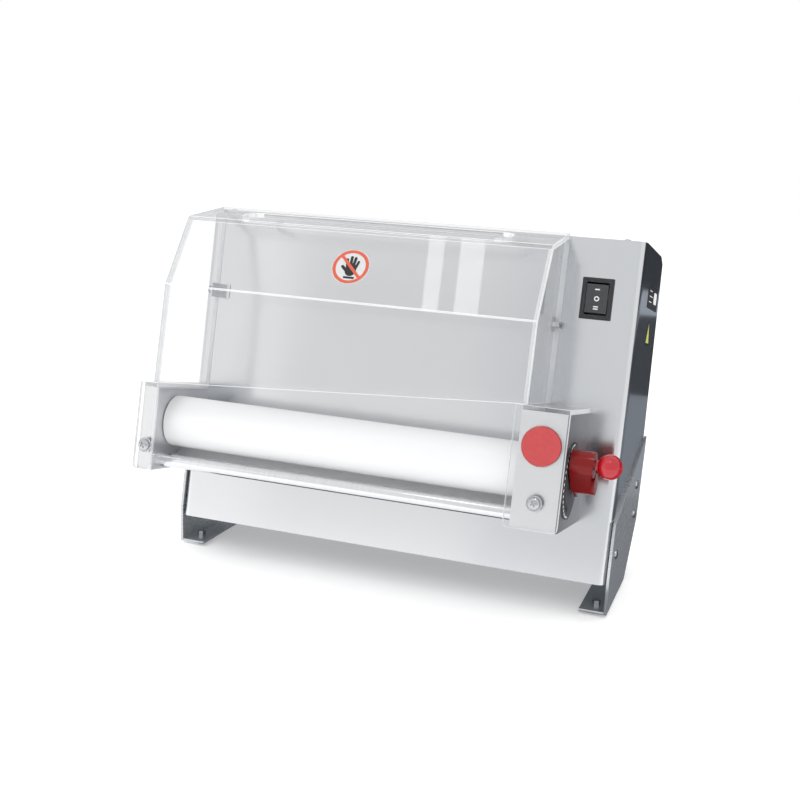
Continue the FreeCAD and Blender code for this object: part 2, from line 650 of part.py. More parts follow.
# ============================================================ rollers
def bearing_pair():
    """Ball bearings, each kept as one ring."""
    left = ring(f"({LEFT_PLATE} + 1)", FRONT_D, FRONT_H, "carrier_bearing", "(tube_radius + fit_gap)", "8")
    right = ring(f"({RIGHT_PLATE} + 2)", FRONT_D, FRONT_H, "carrier_bearing", "(tube_radius + fit_gap)", "8")
    keep(group(left, right), "front_roller_bearings")
    left = ring(f"({LEFT_PLATE} + 1)", REAR_D, REAR_H, "rear_bearing", "(shaft_radius + fit_gap)", "9")
    right = ring(f"({RIGHT_PLATE} + 1.5)", REAR_D, REAR_H, "rear_bearing", "(shaft_radius + fit_gap)", "9")
    keep(group(left, right), "rear_roller_bearings")


def carrier(start, length, yoke_start, label):
    """Sliding bearing carrier with the yoke that its gap cam turns in."""
    block = box(start, f"({FRONT_D} - {CARRIER})", f"({FRONT_H} - {WINDOW_HALF} + carrier_gap)", length,
                f"(2 * {CARRIER})", f"(2 * ({WINDOW_HALF} - carrier_gap))")
    yoke_half = "(cam_radius + 0.25)"
    middle = f"({LEVER_D} + gap_travel / 2)"
    arms = []
    for side in (-1, 1):
        near_face = f"({middle} + {side} * {yoke_half})"
        arm_d = near_face if side > 0 else f"({near_face} - 6)"
        arms.append(box(yoke_start, arm_d, f"({LEVER_H} - cam_radius)", "cam_wall", "6", "(2 * cam_radius)"))
    seat = rod(start, FRONT_D, FRONT_H, "carrier_bearing", length)
    body = cut(block, seat)
    return keep(join(body, *arms), label)


def gear(label, axis_d, axis_h, bore, facing):
    """Spur gear with long teeth, which stay in mesh while the gap opens."""
    body = new_body(label.title().replace("_", ""))
    pitch = f"({CENTRES} / 2)"
    root = f"({pitch} - tooth_depth)"
    pad(body, "side", "gear_width", offset=GEAR_X, circles=[("0", "0", root), ("0", "0", bore)])
    step = "(360 / gear_teeth)"
    start = f"(180 - nip_tilt + {step} / 2)" if facing else "(-nip_tilt)"

    def flank(radius, share):
        """Two points at a radius, the tooth covering this share of its pitch."""
        angles = [f"({start} + {sign} * {step} * {share} / 2)" for sign in (-1, 1)]
        return [(f"({radius} * cos({a}))", f"({radius} * sin({a}))") for a in angles]

    rows = [flank(f"({root} - 0.6)", 0.62), flank(pitch, 0.47), flank(f"({pitch} + tooth_rise)", 0.22)]
    outline = [row[0] for row in rows] + [row[1] for row in reversed(rows)]
    tooth = pad(body, "side", "gear_width", offset=GEAR_X, outlines=[outline])
    teeth = body.newObject("PartDesign::PolarPattern", "Teeth")
    teeth.Originals = [tooth]
    teeth.Axis = (origin(body, "X_Axis"), [""])
    teeth.Angle = 360
    teeth.setExpression("Occurrences", bind("gear_teeth"))
    body.Tip = teeth
    doc.recompute()
    body.Placement = Placement(point(axis_d, axis_h), Rotation())
    return keep(body, label)


def rollers():
    sleeve_start = f"({LEFT_IN} + end_gap)"
    sleeve_length = f"({RIGHT_IN} - {LEFT_IN} - 2 * end_gap)"
    keep(ring(sleeve_start, FRONT_D, FRONT_H, "roller_radius", "(tube_radius + fit_gap)", sleeve_length),
         "front_roller_sleeve")
    tube_start = f"({LEFT_PLATE} + 0.6)"
    tube_end = f"({RIGHT_PLATE} + plate_wall - 1)"
    keep(ring(tube_start, FRONT_D, FRONT_H, "tube_radius", "tube_bore", f"({tube_end} - {tube_start})"),
         "front_roller_tube")
    keep(ring(sleeve_start, REAR_D, REAR_H, "roller_radius", "(shaft_radius + fit_gap)", sleeve_length),
         "rear_roller_sleeve")
    shaft_end = f"({PULLEY_X} + belt_width + 3)"
    keep(rod(f"({LEFT_PLATE} + 0.6)", REAR_D, REAR_H, "shaft_radius", f"({shaft_end} - {LEFT_PLATE} - 0.6)"),
         "rear_roller_shaft")
    gear("front_roller_gear", FRONT_D, FRONT_H, "(tube_radius + fit_gap)", False)
    gear("rear_roller_gear", REAR_D, REAR_H, "(shaft_radius + fit_gap)", True)
    carrier(f"({LEFT_PLATE} + 0.4)", "(plate_wall - block_skin - 0.8)",
            f"({LEFT_PLATE} + 0.4 - cam_wall)", "left_bearing_carrier")
    carrier(f"({RIGHT_PLATE} + 0.3)", "(plate_wall - 0.6)",
            f"({RIGHT_PLATE} + plate_wall - 0.3)", "right_bearing_carrier")


def tie_rod_and_scrapers():
    keep(rod(LEFT_IN, "(-rod_reach)", "rod_height", "rod_radius", f"({RIGHT_IN} - {LEFT_IN})"), "tie_rod")
    tip_radius = "(roller_radius + blade_gap)"
    tip = (f"({FRONT_D} + {tip_radius} * cos(50))", f"({FRONT_H} - {tip_radius} * sin(50))")
    heel = (f"({tip[0]} + 2)", f"({tip[1]} - 10)")
    root = (f"({heel[0]} - 18)", f"({heel[1]} - 18 * tan(30))")
    front = [tip, (f"({tip[0]} + blade_wall)", f"({tip[1]} - 0.4)"), (f"({heel[0]} + blade_wall)", heel[1]),
             (f"({root[0]} + 0.5)", f"({root[1]} - blade_wall)"), root,
             (f"({heel[0]} - 0.4)", f"({heel[1]} + 0.6)")]
    tip = (f"({REAR_D} - {tip_radius} * cos(70))", f"({REAR_H} - {tip_radius} * sin(70))")
    back = [("0", "58"), ("(-blade_wall)", "58"), ("(-blade_wall)", f"({tip[1]} - 12)"),
            (f"({tip[0]} - 0.4)", f"({tip[1]} - blade_wall)"), tip,
            ("0", f"({tip[1]} - 12 + 1.4 * blade_wall)")]
    for label, outline in (("front_scraper", front), ("rear_scraper", back)):
        body = new_body(label.title().replace("_", ""))
        pad(body, "side", f"({RIGHT_IN} - {LEFT_IN})", offset=LEFT_IN, outlines=[outline])
        keep(body, label)


# ============================================================ gap lever
def gap_lever():
    """Cross shaft through the hollow roller, a cam at each end, and the red lever."""
    swing = "(gap_travel / 2 / sin(lever_turn / 2))"
    start = "(90 - lever_turn / 2)"
    cam_d = f"({LEVER_D} + {swing} * cos({start}))"
    cam_h = f"({LEVER_H} + {swing} * sin({start}))"
    left_x = f"({LEFT_PLATE} + 0.4 - cam_wall)"
    right_x = f"({RIGHT_PLATE} + plate_wall - 0.3 + 0.3)"
    cams = []
    for label, x in (("left_gap_cam", left_x), ("right_gap_cam", right_x)):
        thick = "(cam_wall - 0.5)" if x == left_x else "(cam_wall - 0.5)"
        disc = rod(x, cam_d, cam_h, "cam_radius", thick)
        keep(cut(disc, rod(x, LEVER_D, LEVER_H, "(cross_radius + fit_gap)", thick)), label)
        cams.append(x)
    shaft_start = f"(-{HALF} + 0.2)"
    keep(rod(shaft_start, LEVER_D, LEVER_H, "cross_radius", f"({LEVER_X} + lever_depth - 2 - {shaft_start})"),
         "lever_cross_shaft")
    knob_d = f"({LEVER_D} + lever_arm * cos(lever_angle))"
    knob_h = f"({LEVER_H} + lever_arm * sin(lever_angle))"
    across = ("cos(lever_angle + 90)", "sin(lever_angle + 90)")
    body = new_body("Lever")
    pad(body, "side", "lever_depth", offset=LEVER_X, circles=[(LEVER_D, LEVER_H, "hub_radius")])
    web = [(f"({LEVER_D} + hub_radius * {across[0]})", f"({LEVER_H} + hub_radius * {across[1]})"),
           (f"({LEVER_D} - hub_radius * {across[0]})", f"({LEVER_H} - hub_radius * {across[1]})"),
           (f"({knob_d} - boss_radius * {across[0]})", f"({knob_h} - boss_radius * {across[1]})"),
           (f"({knob_d} + boss_radius * {across[0]})", f"({knob_h} + boss_radius * {across[1]})")]
    pad(body, "side", "(lever_depth - 2.5)", offset=LEVER_X, outlines=[web])
    pad(body, "side", "lever_depth", offset=LEVER_X, circles=[(knob_d, knob_h, "boss_radius")])
    tip = (f"({LEVER_D} - (hub_radius + 13) * cos(lever_angle))",
           f"({LEVER_H} - (hub_radius + 13) * sin(lever_angle))")
    pointer = [(f"({LEVER_D} + 7 * {across[0]})", f"({LEVER_H} + 7 * {across[1]})"),
               (f"({LEVER_D} - 7 * {across[0]})", f"({LEVER_H} - 7 * {across[1]})"), tip]
    pad(body, "side", "4", offset=LEVER_X, outlines=[pointer])
    reach = "(lever_depth + 2)"
    pocket(body, "side", "(lever_depth - 1)", offset=f"({LEVER_X} - 1)", back=True,
           circles=[(LEVER_D, LEVER_H, "(cross_radius + fit_gap)")])
    pocket(body, "side", reach, offset=f"({LEVER_X} - 1)", back=True,
           circles=[(knob_d, knob_h, "(pin_radius + fit_gap)")])
    keep(body, "gap_lever")
    ball_x = f"({LEVER_X} + lever_depth + 2 + ball_radius)"
    pin_start = f"({RIGHT_OUT} + dial_wall + 0.3)"
    keep(rod(pin_start, knob_d, knob_h, "pin_radius", f"({ball_x} - {pin_start})"), "index_pin")
    ball = helper("Part::Sphere", "Ball")
    for field, text in {"Radius": "ball_radius", "Placement.Base.x": ball_x,
                        "Placement.Base.y": knob_d, "Placement.Base.z": knob_h}.items():
        ball.setExpression(field, bind(text))
    neck = rod(f"({LEVER_X} + lever_depth + 0.4)", knob_d, knob_h, "5.5", "ball_radius")
    socket = rod(pin_start, knob_d, knob_h, "(pin_radius + fit_gap / 2)", f"({ball_x} - {pin_start})")
    keep(cut(join(ball, neck), socket), "ball_knob")


LEVER_X = f"({RIGHT_OUT} + dial_wall + 1.8)"


# ============================================================ guard
def guard():
    """Clear guard: a hood bent in three facets, two sides and a shoe on each block."""
    knee = (f"({GUARD_D} + knee_set)", "(body_height - guard_knee)")
    brow = (f"({GUARD_D} + brow_set)", "(body_height - guard_brow)")
    crest = ("-0.3", "(body_height + guard_rise)")
    foot = (GUARD_D, f"({LEFT_TOP} + guard_wall)")
    lean_low = f"atan(knee_set / ({knee[1]} - {foot[1]}))"
    lean_mid = f"atan((brow_set - knee_set) / (guard_knee - guard_brow))"
    lean_top = f"atan(({crest[0]} - {brow[0]}) / (guard_brow + guard_rise))"

    def inset(corner, below, above):
        """The inside corner one sheet in, on the mitre of its two facets."""
        half_turn = f"(({above} - {below}) / 2)"
        middle = f"(({above} + {below}) / 2)"
        reach = f"(guard_wall / cos({half_turn}))"
        return (f"({corner[0]} + {reach} * cos({middle}))", f"({corner[1]} - {reach} * sin({middle}))")

    inner_foot = (f"({foot[0]} + guard_wall / cos({lean_low}))", foot[1])
    inner_knee = inset(knee, lean_low, lean_mid)
    inner_brow = inset(brow, lean_mid, lean_top)
    inner_crest = (crest[0], f"({crest[1]} - guard_wall / sin({lean_top}))")
    left = f"({LEFT_IN} - guard_wall)"
    right = f"({RIGHT_IN} + guard_wall)"
    hood = new_body("GuardHood")
    outline = [foot, knee, brow, crest, inner_crest, inner_brow, inner_knee, inner_foot]
    pad(hood, "side", f"({right} - {left})", offset=left, outlines=[outline])
    lip = f"({RIGHT_TOP} + guard_wall)"
    low = f"({LEFT_TOP} - 10)"
    slant = [(left, low), (right, low), (right, lip), (f"({RIGHT_IN} - shoe_lip)", lip), (left, foot[1])]
    pocket(hood, "front", f"(guard_wall * 6)", offset=f"(-{GUARD_D} + 5)", outlines=[slant])
    slot_d = f"({brow[0]} + slot_set)"
    half = "(slot_width / 2)"
    slot_left = f"({LEFT_IN} + slot_end_margin)"
    slot_right = f"({RIGHT_IN} - slot_end_margin)"
    run = rectangle(f"({slot_left} + {half})", f"({slot_d} - {half})",
                    f"({slot_right} - {half})", f"({slot_d} + {half})")
    pocket(hood, "plan", "60", offset="(body_height + 20)", outlines=[run])
    for end in (f"({slot_left} + {half})", f"({slot_right} - {half})"):
        pocket(hood, "plan", "60", offset="(body_height + 20)", circles=[(end, slot_d, half)])
    keep(hood, "guard_hood")
    for label, start, base, name in (("guard_left_side", left, LEFT_TOP, "GuardLeft"),
                                     ("guard_right_side", RIGHT_IN, RIGHT_TOP, "GuardRight")):
        side = new_body(name)
        stand = f"({base} + guard_wall)"
        lower = (f"({inner_foot[0]} + ({stand} - {foot[1]}) * tan({lean_low}))", stand)
        plate = [lower, inner_knee, inner_brow, inner_crest, ("-0.3", stand)]
        screw = [(SIDE_SCREW[0], SIDE_SCREW[1], "2.3")]
        pad(side, "side", "guard_wall", offset=start, outlines=[plate], circles=screw)
        keep(side, label)
    shoes = (("guard_left_shoe", f"(-{HALF} - 3)", LEFT_IN, f"-{HALF}", LEFT_IN, LEFT_TOP, LEFT_SCREW_X),
             ("guard_right_shoe", f"({RIGHT_IN} - shoe_lip)", f"({RIGHT_OUT} + 0.5)", RIGHT_IN,
              f"({RIGHT_OUT} + 0.5)", RIGHT_TOP, RIGHT_SCREW_X))
    for label, flange_a, flange_b, shelf_a, shelf_b, top, screw_x in shoes:
        shoe = new_body(label.title().replace("_", ""))
        holes = [(screw_x, "screw_height", "(screw_radius + 0.4)")]
        if label == "guard_right_shoe":
            holes.append((BUTTON_X, BUTTON_H, "(button_radius + 0.5)"))
        pad(shoe, "front", "guard_wall", offset=f"(-{BLOCK_D})",
            outlines=[rectangle(flange_a, BLOCK_LOW, flange_b, f"({top} + guard_wall)")], circles=holes)
        pad(shoe, "side", f"({shelf_b} - {shelf_a})", offset=shelf_a,
            outlines=[rectangle(BLOCK_D, top, "-0.3", f"({top} + guard_wall)")])
        bottom = number(BLOCK_LOW)

        def foot_corner(a, b):
            level_run = near(a.z, bottom) and near(b.z, bottom)
            return level_run and near(a.x, b.x)

        round_edges(shoe, "5", foot_corner)
        keep(shoe, label)


SIDE_SCREW = ("-12", "(body_height - 95)")
BUTTON_X = f"(({RIGHT_IN} + {RIGHT_OUT}) / 2)"
BUTTON_H = f"({FRONT_H} + button_height)"
STEM_X = f"({BUTTON_X} + 13)"
GUIDE_X = f"({BUTTON_X} - 15)"


def guard_fasteners():
    screws = []
    washers = []
    for x in (LEFT_SCREW_X, RIGHT_SCREW_X):
        face = f"({GUARD_D} - 1.2)"
        washers.append(ring(x, face, "screw_height", "washer_radius", "(screw_radius + 0.2)", "1.2", "d"))
        head = rod(x, f"({face} - 4.5)", "screw_height", "(washer_radius - 1.8)", "4.5", "d")
        shank = rod(x, face, "screw_height", "screw_radius", "(1.2 + guard_wall + block_skin + 4.5)", "d")
        screws.append(join(head, shank))
    tabs = []
    for sign, face in ((1, LEFT_IN), (-1, RIGHT_IN)):
        start = face if sign > 0 else f"({face} - 1.5)"
        base = face if sign > 0 else f"({face} - 14)"
        d, h = SIDE_SCREW
        ear = box(start, "-20", f"({h} - 8)", "1.5", "20", "16")
        foot = box(base, "-1.5", f"({h} - 8)", "14", "1.5", "16")
        hole = rod(start, d, h, "(2 + fit_gap)", "1.5")
        tabs.append(cut(join(ear, foot), hole))
        head_face = f"({face} - guard_wall)" if sign > 0 else f"({face} + guard_wall)"
        screws.append(pan_screw(head_face, d, h, "2", "(guard_wall + 1.5)", "x", -sign))
    keep(group(*screws, *washers), "guard_screws")
    keep(group(*tabs), "guard_tabs")


# ============================================================ switch, button, labels
def switch():
    bezel = new_body("SwitchBezel")

    def frame(inset):
        return rectangle(f"({SWITCH_X} - switch_width / 2 + {inset})", f"({SWITCH_H} - switch_height / 2 + {inset})",
                         f"({SWITCH_X} + switch_width / 2 - {inset})", f"({SWITCH_H} + switch_height / 2 - {inset})")
    pad(bezel, "front", "2.5", outlines=[frame("0")])
    pad(bezel, "front", "22", outlines=[frame("3.3")], back=True)
    pocket(bezel, "front", "16", offset="2.6", outlines=[frame("5")])
    pin = rod(f"({SWITCH_X} - switch_width / 2 + 5)", "4.5", SWITCH_H, "1.5", "(switch_width - 10)")
    keep(group(bezel, pin), "switch_bezel")
    rocker = new_body("SwitchRocker")
    half = "(switch_height / 2 - 6.8)"
    outline = [("-3.4", f"({SWITCH_H} + {half})"), ("-1.6", SWITCH_H), ("-3.4", f"({SWITCH_H} - {half})"),
               ("2", f"({SWITCH_H} - {half} + 0.6)"), ("8", f"({SWITCH_H} - 6)"), ("8", f"({SWITCH_H} + 6)"),
               ("2", f"({SWITCH_H} + {half} - 0.6)")]
    width = "(switch_width - 10.6)"
    pad(rocker, "side", width, offset=f"({SWITCH_X} - {width} / 2)", outlines=[outline],
        circles=[("4.5", SWITCH_H, "(1.5 + fit_gap)")])
    keep(rocker, "switch_rocker")


def stop_button():
    face = f"({GUARD_D} - 1.5)"
    cap = rod(BUTTON_X, face, BUTTON_H, "button_radius", "(guard_wall - 1.5)", "d")
    stem = rod(STEM_X, f"({face} + 1)", BUTTON_H, "4", f"({BLOCK_D} + block_skin + 1.6 - {face} - 1)", "d")
    guide = rod(GUIDE_X, f"({face} + 1)", BUTTON_H, "1.5", f"({BLOCK_D} + block_skin + 1.6 - {face} - 1)", "d")
    keep(join(cap, stem, guide), "stop_button")
    contact = box(f"({STEM_X} - 5.5)", f"({BLOCK_D} + block_skin)", f"({BUTTON_H} - 8)", "13.5", "12", "16")
    well = rod(STEM_X, f"({BLOCK_D} + block_skin)", BUTTON_H, "4.3", "(button_travel + 2.4)", "d")
    keep(cut(contact, well), "stop_contact")


def labels():
    plate = box(HALF, "62", "(body_height - 64)", "0.6", "90", "27")
    mark = new_body("SideTriangle")
    top = "(body_height - 76)"
    pad(mark, "side", "0.5", offset=HALF,
        outlines=[[("82", f"({top} - 28)"), ("114", f"({top} - 28)"), ("98", top)]])
    keep(group(plate, mark), "side_labels")
    disc = helper("Part::Cylinder", "Notice")
    disc.Radius = 20.5
    disc.Height = 0.5
    middle = f"(({LEFT_IN} + {RIGHT_IN}) / 2)"
    slope = math.radians(number(f"atan((brow_set - knee_set) / (guard_knee - guard_brow))"))
    share = 0.47
    d = number(f"({GUARD_D} + knee_set + {share} * (brow_set - knee_set))")
    h = number(f"(body_height - guard_knee + {share} * (guard_knee - guard_brow))")
    disc.Placement = Placement(Vector(number(middle), d, h), Rotation(Vector(1, 0, 0), 90 - math.degrees(slope)))
    keep(disc, "guard_notice")


# ============================================================ drive
def drive():
    """Gearmotor on its bracket, pulleys and belt, capacitor and terminal box."""
    axis_h = f"({REAR_H} + 4)"
    end = f"({PULLEY_X} - 22)"
    keep(rod(f"({end} - gearbox_length - motor_length)", "motor_set", axis_h, "motor_radius", "motor_length"),
         "motor")
    half = "(gearbox_size / 2)"
    case = box(f"({end} - gearbox_length)", f"(motor_set - {half})", f"({axis_h} - {half})",
               "gearbox_length", "gearbox_size", "gearbox_size")
    bore = rod(f"({end} - 20)", "motor_set", axis_h, "(shaft_radius + fit_gap)", "20")
    keep(cut(case, bore), "gearbox")
    shaft_end = f"({PULLEY_X} + belt_width + 3)"
    keep(rod(f"({end} - 19)", "motor_set", axis_h, "shaft_radius", f"({shaft_end} - {end} + 19)"),
         "gearbox_shaft")
    bracket = new_body("MotorBracket")

    def floor_at(d):
        return f"(({d}) * tan(lean) + sheet_wall)"

    front = f"(motor_set - {half})"
    back = f"(motor_set + {half} - 4)"
    pad(bracket, "side", "4", offset=end,
        outlines=[[(front, floor_at(front)), (back, floor_at(back)), (back, f"({axis_h} + {half})"),
                   (front, f"({axis_h} + {half})")]], circles=[("motor_set", axis_h, "(shaft_radius + 6)")])
    pad(bracket, "side", "40", offset=f"({end} - 36)",
        outlines=[[(front, floor_at(front)), (back, floor_at(back)), (back, f"({floor_at(back)} + 4)"),
                   (front, f"({floor_at(front)} + 4)")]])
    keep(bracket, "motor_bracket")
    pulleys = (("roller_pulley_wheel", REAR_D, REAR_H, "roller_pulley"),
               ("motor_pulley_wheel", "motor_set", axis_h, "motor_pulley"))
    for label, d, h, radius in pulleys:
        drum = rod(f"({PULLEY_X} - 1)", d, h, f"({radius})", "(belt_width + 2)")
        rim = rod(f"({PULLEY_X} - 2.5)", d, h, f"({radius} + belt_wall + 1)", "1.5")
        hub = rod(f"({PULLEY_X} - 1)", d, h, "(shaft_radius + fit_gap)", "(belt_width + 2)")
        hole = rod(f"({PULLEY_X} - 2.5)", d, h, "(shaft_radius + fit_gap)", "1.5")
        keep(cut(join(drum, rim), hub, hole), label)
    belt()
    keep(box("(-body_width / 2 + 1.5)", "40", "(body_height / 2)", "40", "90", "70"), "terminal_box")


def belt():
    """Open belt loop round both pulleys, a running gap off each."""
    start = Vector(number(PULLEY_X), number(REAR_D), number(REAR_H))
    finish = Vector(start.x, number("motor_set"), number(f"({REAR_H} + 4)"))
    along = finish - start
    distance = along.Length
    heading = math.atan2(along.z, along.y)
    radii = [number("roller_pulley") + 0.3, number("motor_pulley") + 0.3]
    wall = number("belt_wall")

    def loop(grow):
        big, small = (radius + grow for radius in radii)
        spread = math.acos((big - small) / distance)

        def spot(centre, radius, angle):
            turn = heading + angle
            return centre + Vector(0, radius * math.cos(turn), radius * math.sin(turn))

        top = (spot(start, big, spread), spot(finish, small, spread))
        low = (spot(start, big, -spread), spot(finish, small, -spread))
        edges = [Part.Arc(top[0], spot(start, big, math.pi), low[0]).toShape(),
                 Part.makeLine(low[0], low[1]),
                 Part.Arc(low[1], spot(finish, small, 0), top[1]).toShape(),
                 Part.makeLine(top[1], top[0])]
        return Part.Wire(edges)

    run = Vector(number("belt_width"), 0, 0)
    piece = helper("Part::Feature", "Belt")
    piece.Shape = Part.Face(loop(wall)).extrude(run).cut(Part.Face(loop(0)).extrude(run))
    return keep(piece, "drive_belt")


# ============================================================ whole machine
body_shell()
top_cover()
base_plate()
rear_cover()
cover_fasteners()
cable_gland()
skid(-1)
skid(1)
skid_fasteners()
left_block()
right_block()
dial()
bearing_pair()
rollers()
tie_rod_and_scrapers()
gap_lever()
guard()
guard_fasteners()
switch()
stop_button()
labels()
drive()
doc.recompute()

# Lean the body back on its feet, then put the origin under the middle of the whole.
leaned = Placement(Vector(0, 0, number("foot_height")), Rotation(Vector(1, 0, 0), -number("lean")))
for piece in parts:
    if piece in level:
        continue
    for field in ("x", "y", "z"):
        piece.setExpression(f"Placement.Base.{field}", None)
    piece.Placement = leaned.multiply(piece.Placement)
doc.recompute()
whole = FreeCAD.BoundBox()
for piece in parts:
    whole.add(piece.Shape.BoundBox)
shift = Placement(Vector(-whole.Center.x, -whole.Center.y, -whole.ZMin), Rotation())
for piece in parts:
    piece.Placement = shift.multiply(piece.Placement)
doc.recompute()

faults = []
for item in doc.Objects:
    if "Invalid" in item.State or "Error" in item.State:
        faults.append(f"{item.Name} ({item.Label}) {item.State}")
for piece in parts:
    if piece.Shape.isNull() or not piece.Shape.isValid() or not piece.Shape.Solids:
        faults.append(f"{piece.Label} has no sound shape")
if len({piece.Label for piece in parts}) != len(parts):
    faults.append("two sub-parts share a name")
if faults:
    raise RuntimeError("; ".join(faults))

os.makedirs("parts", exist_ok=True)
for piece in parts:
    piece.Shape.exportStep(f"parts/{piece.Label}.step")
print(f"{len(parts)} nodes, {whole.XLength:.1f} x {whole.YLength:.1f} x {whole.ZLength:.1f} mm")
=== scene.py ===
import json
import math

import bmesh
import bpy
from mathutils import Matrix, Vector

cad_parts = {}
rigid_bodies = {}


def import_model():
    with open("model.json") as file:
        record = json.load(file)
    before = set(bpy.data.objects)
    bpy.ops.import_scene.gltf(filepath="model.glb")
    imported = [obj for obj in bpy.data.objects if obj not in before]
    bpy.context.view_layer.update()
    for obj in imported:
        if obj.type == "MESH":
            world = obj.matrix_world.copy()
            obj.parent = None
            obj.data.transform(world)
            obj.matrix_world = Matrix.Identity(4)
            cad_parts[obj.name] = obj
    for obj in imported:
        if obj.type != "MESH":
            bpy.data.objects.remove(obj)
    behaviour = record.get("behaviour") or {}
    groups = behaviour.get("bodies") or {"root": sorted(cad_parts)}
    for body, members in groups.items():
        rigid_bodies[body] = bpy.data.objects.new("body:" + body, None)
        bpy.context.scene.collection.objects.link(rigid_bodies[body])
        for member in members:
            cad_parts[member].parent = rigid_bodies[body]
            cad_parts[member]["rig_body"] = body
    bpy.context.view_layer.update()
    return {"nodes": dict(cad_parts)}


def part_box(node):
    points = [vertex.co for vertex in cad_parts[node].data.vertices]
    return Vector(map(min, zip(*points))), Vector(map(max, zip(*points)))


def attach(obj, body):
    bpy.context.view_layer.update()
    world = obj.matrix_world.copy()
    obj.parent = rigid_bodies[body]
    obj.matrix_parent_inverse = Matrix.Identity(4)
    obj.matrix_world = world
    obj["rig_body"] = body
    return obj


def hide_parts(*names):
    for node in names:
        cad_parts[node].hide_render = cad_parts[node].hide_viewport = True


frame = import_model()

nodes = frame["nodes"]


# ---------------------------------------------------------------- body sheet metal
# Front and sides are one bent sheet of satin stainless, with a loose lid, rear panel and
# underside of the same sheet. The mill's brushing runs level along the front and the sides.

LEAN = math.radians(10.0)


class Value:
    """A shader socket that takes part in Python arithmetic by adding Math nodes."""

    def __init__(self, finish, socket):
        self.finish = finish
        self.socket = socket

    def math(self, operation, *values):
        feeds = dict(enumerate(values))
        return self.finish.node("Math", {"operation": operation}, feeds)

    def __add__(self, other):
        return self.math("ADD", self, other)

    def __radd__(self, other):
        return self.math("ADD", other, self)

    def __mul__(self, other):
        return self.math("MULTIPLY", self, other)

    def __rmul__(self, other):
        return self.math("MULTIPLY", other, self)

    def __pow__(self, other):
        return self.math("POWER", self, other)


class Finish:
    """A material: one Principled shader, and one method that adds any other node."""

    def __init__(self, name, **constants):
        self.material = bpy.data.materials.new(name)
        self.material.use_nodes = True
        self.tree = self.material.node_tree
        self.shader = self.tree.nodes["Principled BSDF"]
        for word, value in constants.items():
            socket = word.replace("_", " ").title().replace("Ior", "IOR")
            self.shader.inputs[socket].default_value = value

    def feed(self, socket, value):
        if isinstance(value, Value):
            self.tree.links.new(value.socket, socket)
        else:
            socket.default_value = value

    def node(self, kind, settings=None, values=None, out=0):
        node = self.tree.nodes.new("ShaderNode" + kind)
        for name, setting in (settings or {}).items():
            setattr(node, name, setting)
        for name, value in (values or {}).items():
            self.feed(node.inputs[name], value)
        return Value(self, node.outputs[out])

    def place(self, scale=(1, 1, 1), turn=(0, 0, 0)):
        """Object coordinates in metres, stretched so that a pattern runs the right way."""
        spot = self.node("TexCoord", out="Object")
        return self.node("Mapping", None, {"Vector": spot, "Rotation": turn, "Scale": scale})

    def noise(self, spot, size=1.0, detail=2.0):
        return self.node("TexNoise", None, {"Vector": spot, "Scale": size, "Detail": detail})

    def mix(self, factor, first, second):
        """A colour between two; sockets 6, 7 and 2 are the colour ones of the Mix node."""
        feeds = {0: factor, 6: (*first, 1.0), 7: (*second, 1.0)}
        return self.node("Mix", {"data_type": "RGBA"}, feeds, out=2)

    def surface(self, colour, roughness, height=None, depth=0.0, strength=0.0, alpha=None):
        """Lay what varies over the surface onto the shader."""
        for name, value in (("Base Color", colour), ("Roughness", roughness), ("Alpha", alpha)):
            if value is not None:
                self.feed(self.shader.inputs[name], value)
        if height is not None:
            bump = self.node("Bump", None, {"Height": height, "Distance": depth, "Strength": strength})
            self.feed(self.shader.inputs["Normal"], bump)
        return self


STREAK_ALONG, STREAK_ACROSS, CLOUDS = 7.0, 2600.0, 9.0      # how often they repeat, per metre
CLOUDY = 0.08
DARKER = 0.98


def brushed(name, colour, fine, roughness=0.27, grain=0.03, metallic=1.0):
    """Satin metal: fine streaks that vary quickly along one axis, and a faint cloudiness."""
    finish = Finish(name, metallic=metallic, ior=2.6)
    scale = [STREAK_ACROSS if axis == fine else STREAK_ALONG for axis in "xyz"]
    streak = finish.noise(finish.place(scale, turn=(LEAN, 0, 0)), 1.0, 3.0)
    cloud = finish.noise(finish.place(), CLOUDS, 3.0)
    shade = tuple(c * DARKER for c in colour)
    tone = finish.mix(streak * 0.7 + cloud * 0.3, shade, colour)
    rough = streak * grain + cloud * CLOUDY + (roughness - grain / 2 - CLOUDY / 2)
    return finish.surface(tone, rough, streak, 0.00001, 0.03)


def dress(finish, *names):
    """Give CAD nodes a finish in place of their plain one."""
    for name in names:
        slots = nodes[name].data.materials
        for index in range(len(slots)):
            slots[index] = finish.material


STAINLESS = (0.675, 0.685, 0.70)
sheet_level = brushed("Satin stainless, level brushing", STAINLESS, "z", 0.17)
sheet_lid = brushed("Satin stainless, lid", STAINLESS, "y")
dress(sheet_level, "body_shell", "rear_cover", "cover_tabs", "guard_tabs")
dress(sheet_lid, "top_cover", "base_plate", "motor_bracket")


# ---------------------------------------------------------------- cover and skid screws
# Pan-head machine screws with a cross recess, bright zinc plated. They hold the lid and the
# rear panel on their tabs and the skids on the body's sides.

low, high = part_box("body_shell")
CORNER = Vector(((low.x + high.x) / 2, low.y, low.z))
LEANED = Matrix.Translation(CORNER) @ Matrix.Rotation(-LEAN, 4, "X") @ Matrix.Scale(0.001, 4)


def lean_way(x, d, h):
    """A direction of the leaned body: x to the right, d to the rear and h up."""
    return (LEANED.to_3x3() @ Vector((x, d, h))).normalized()


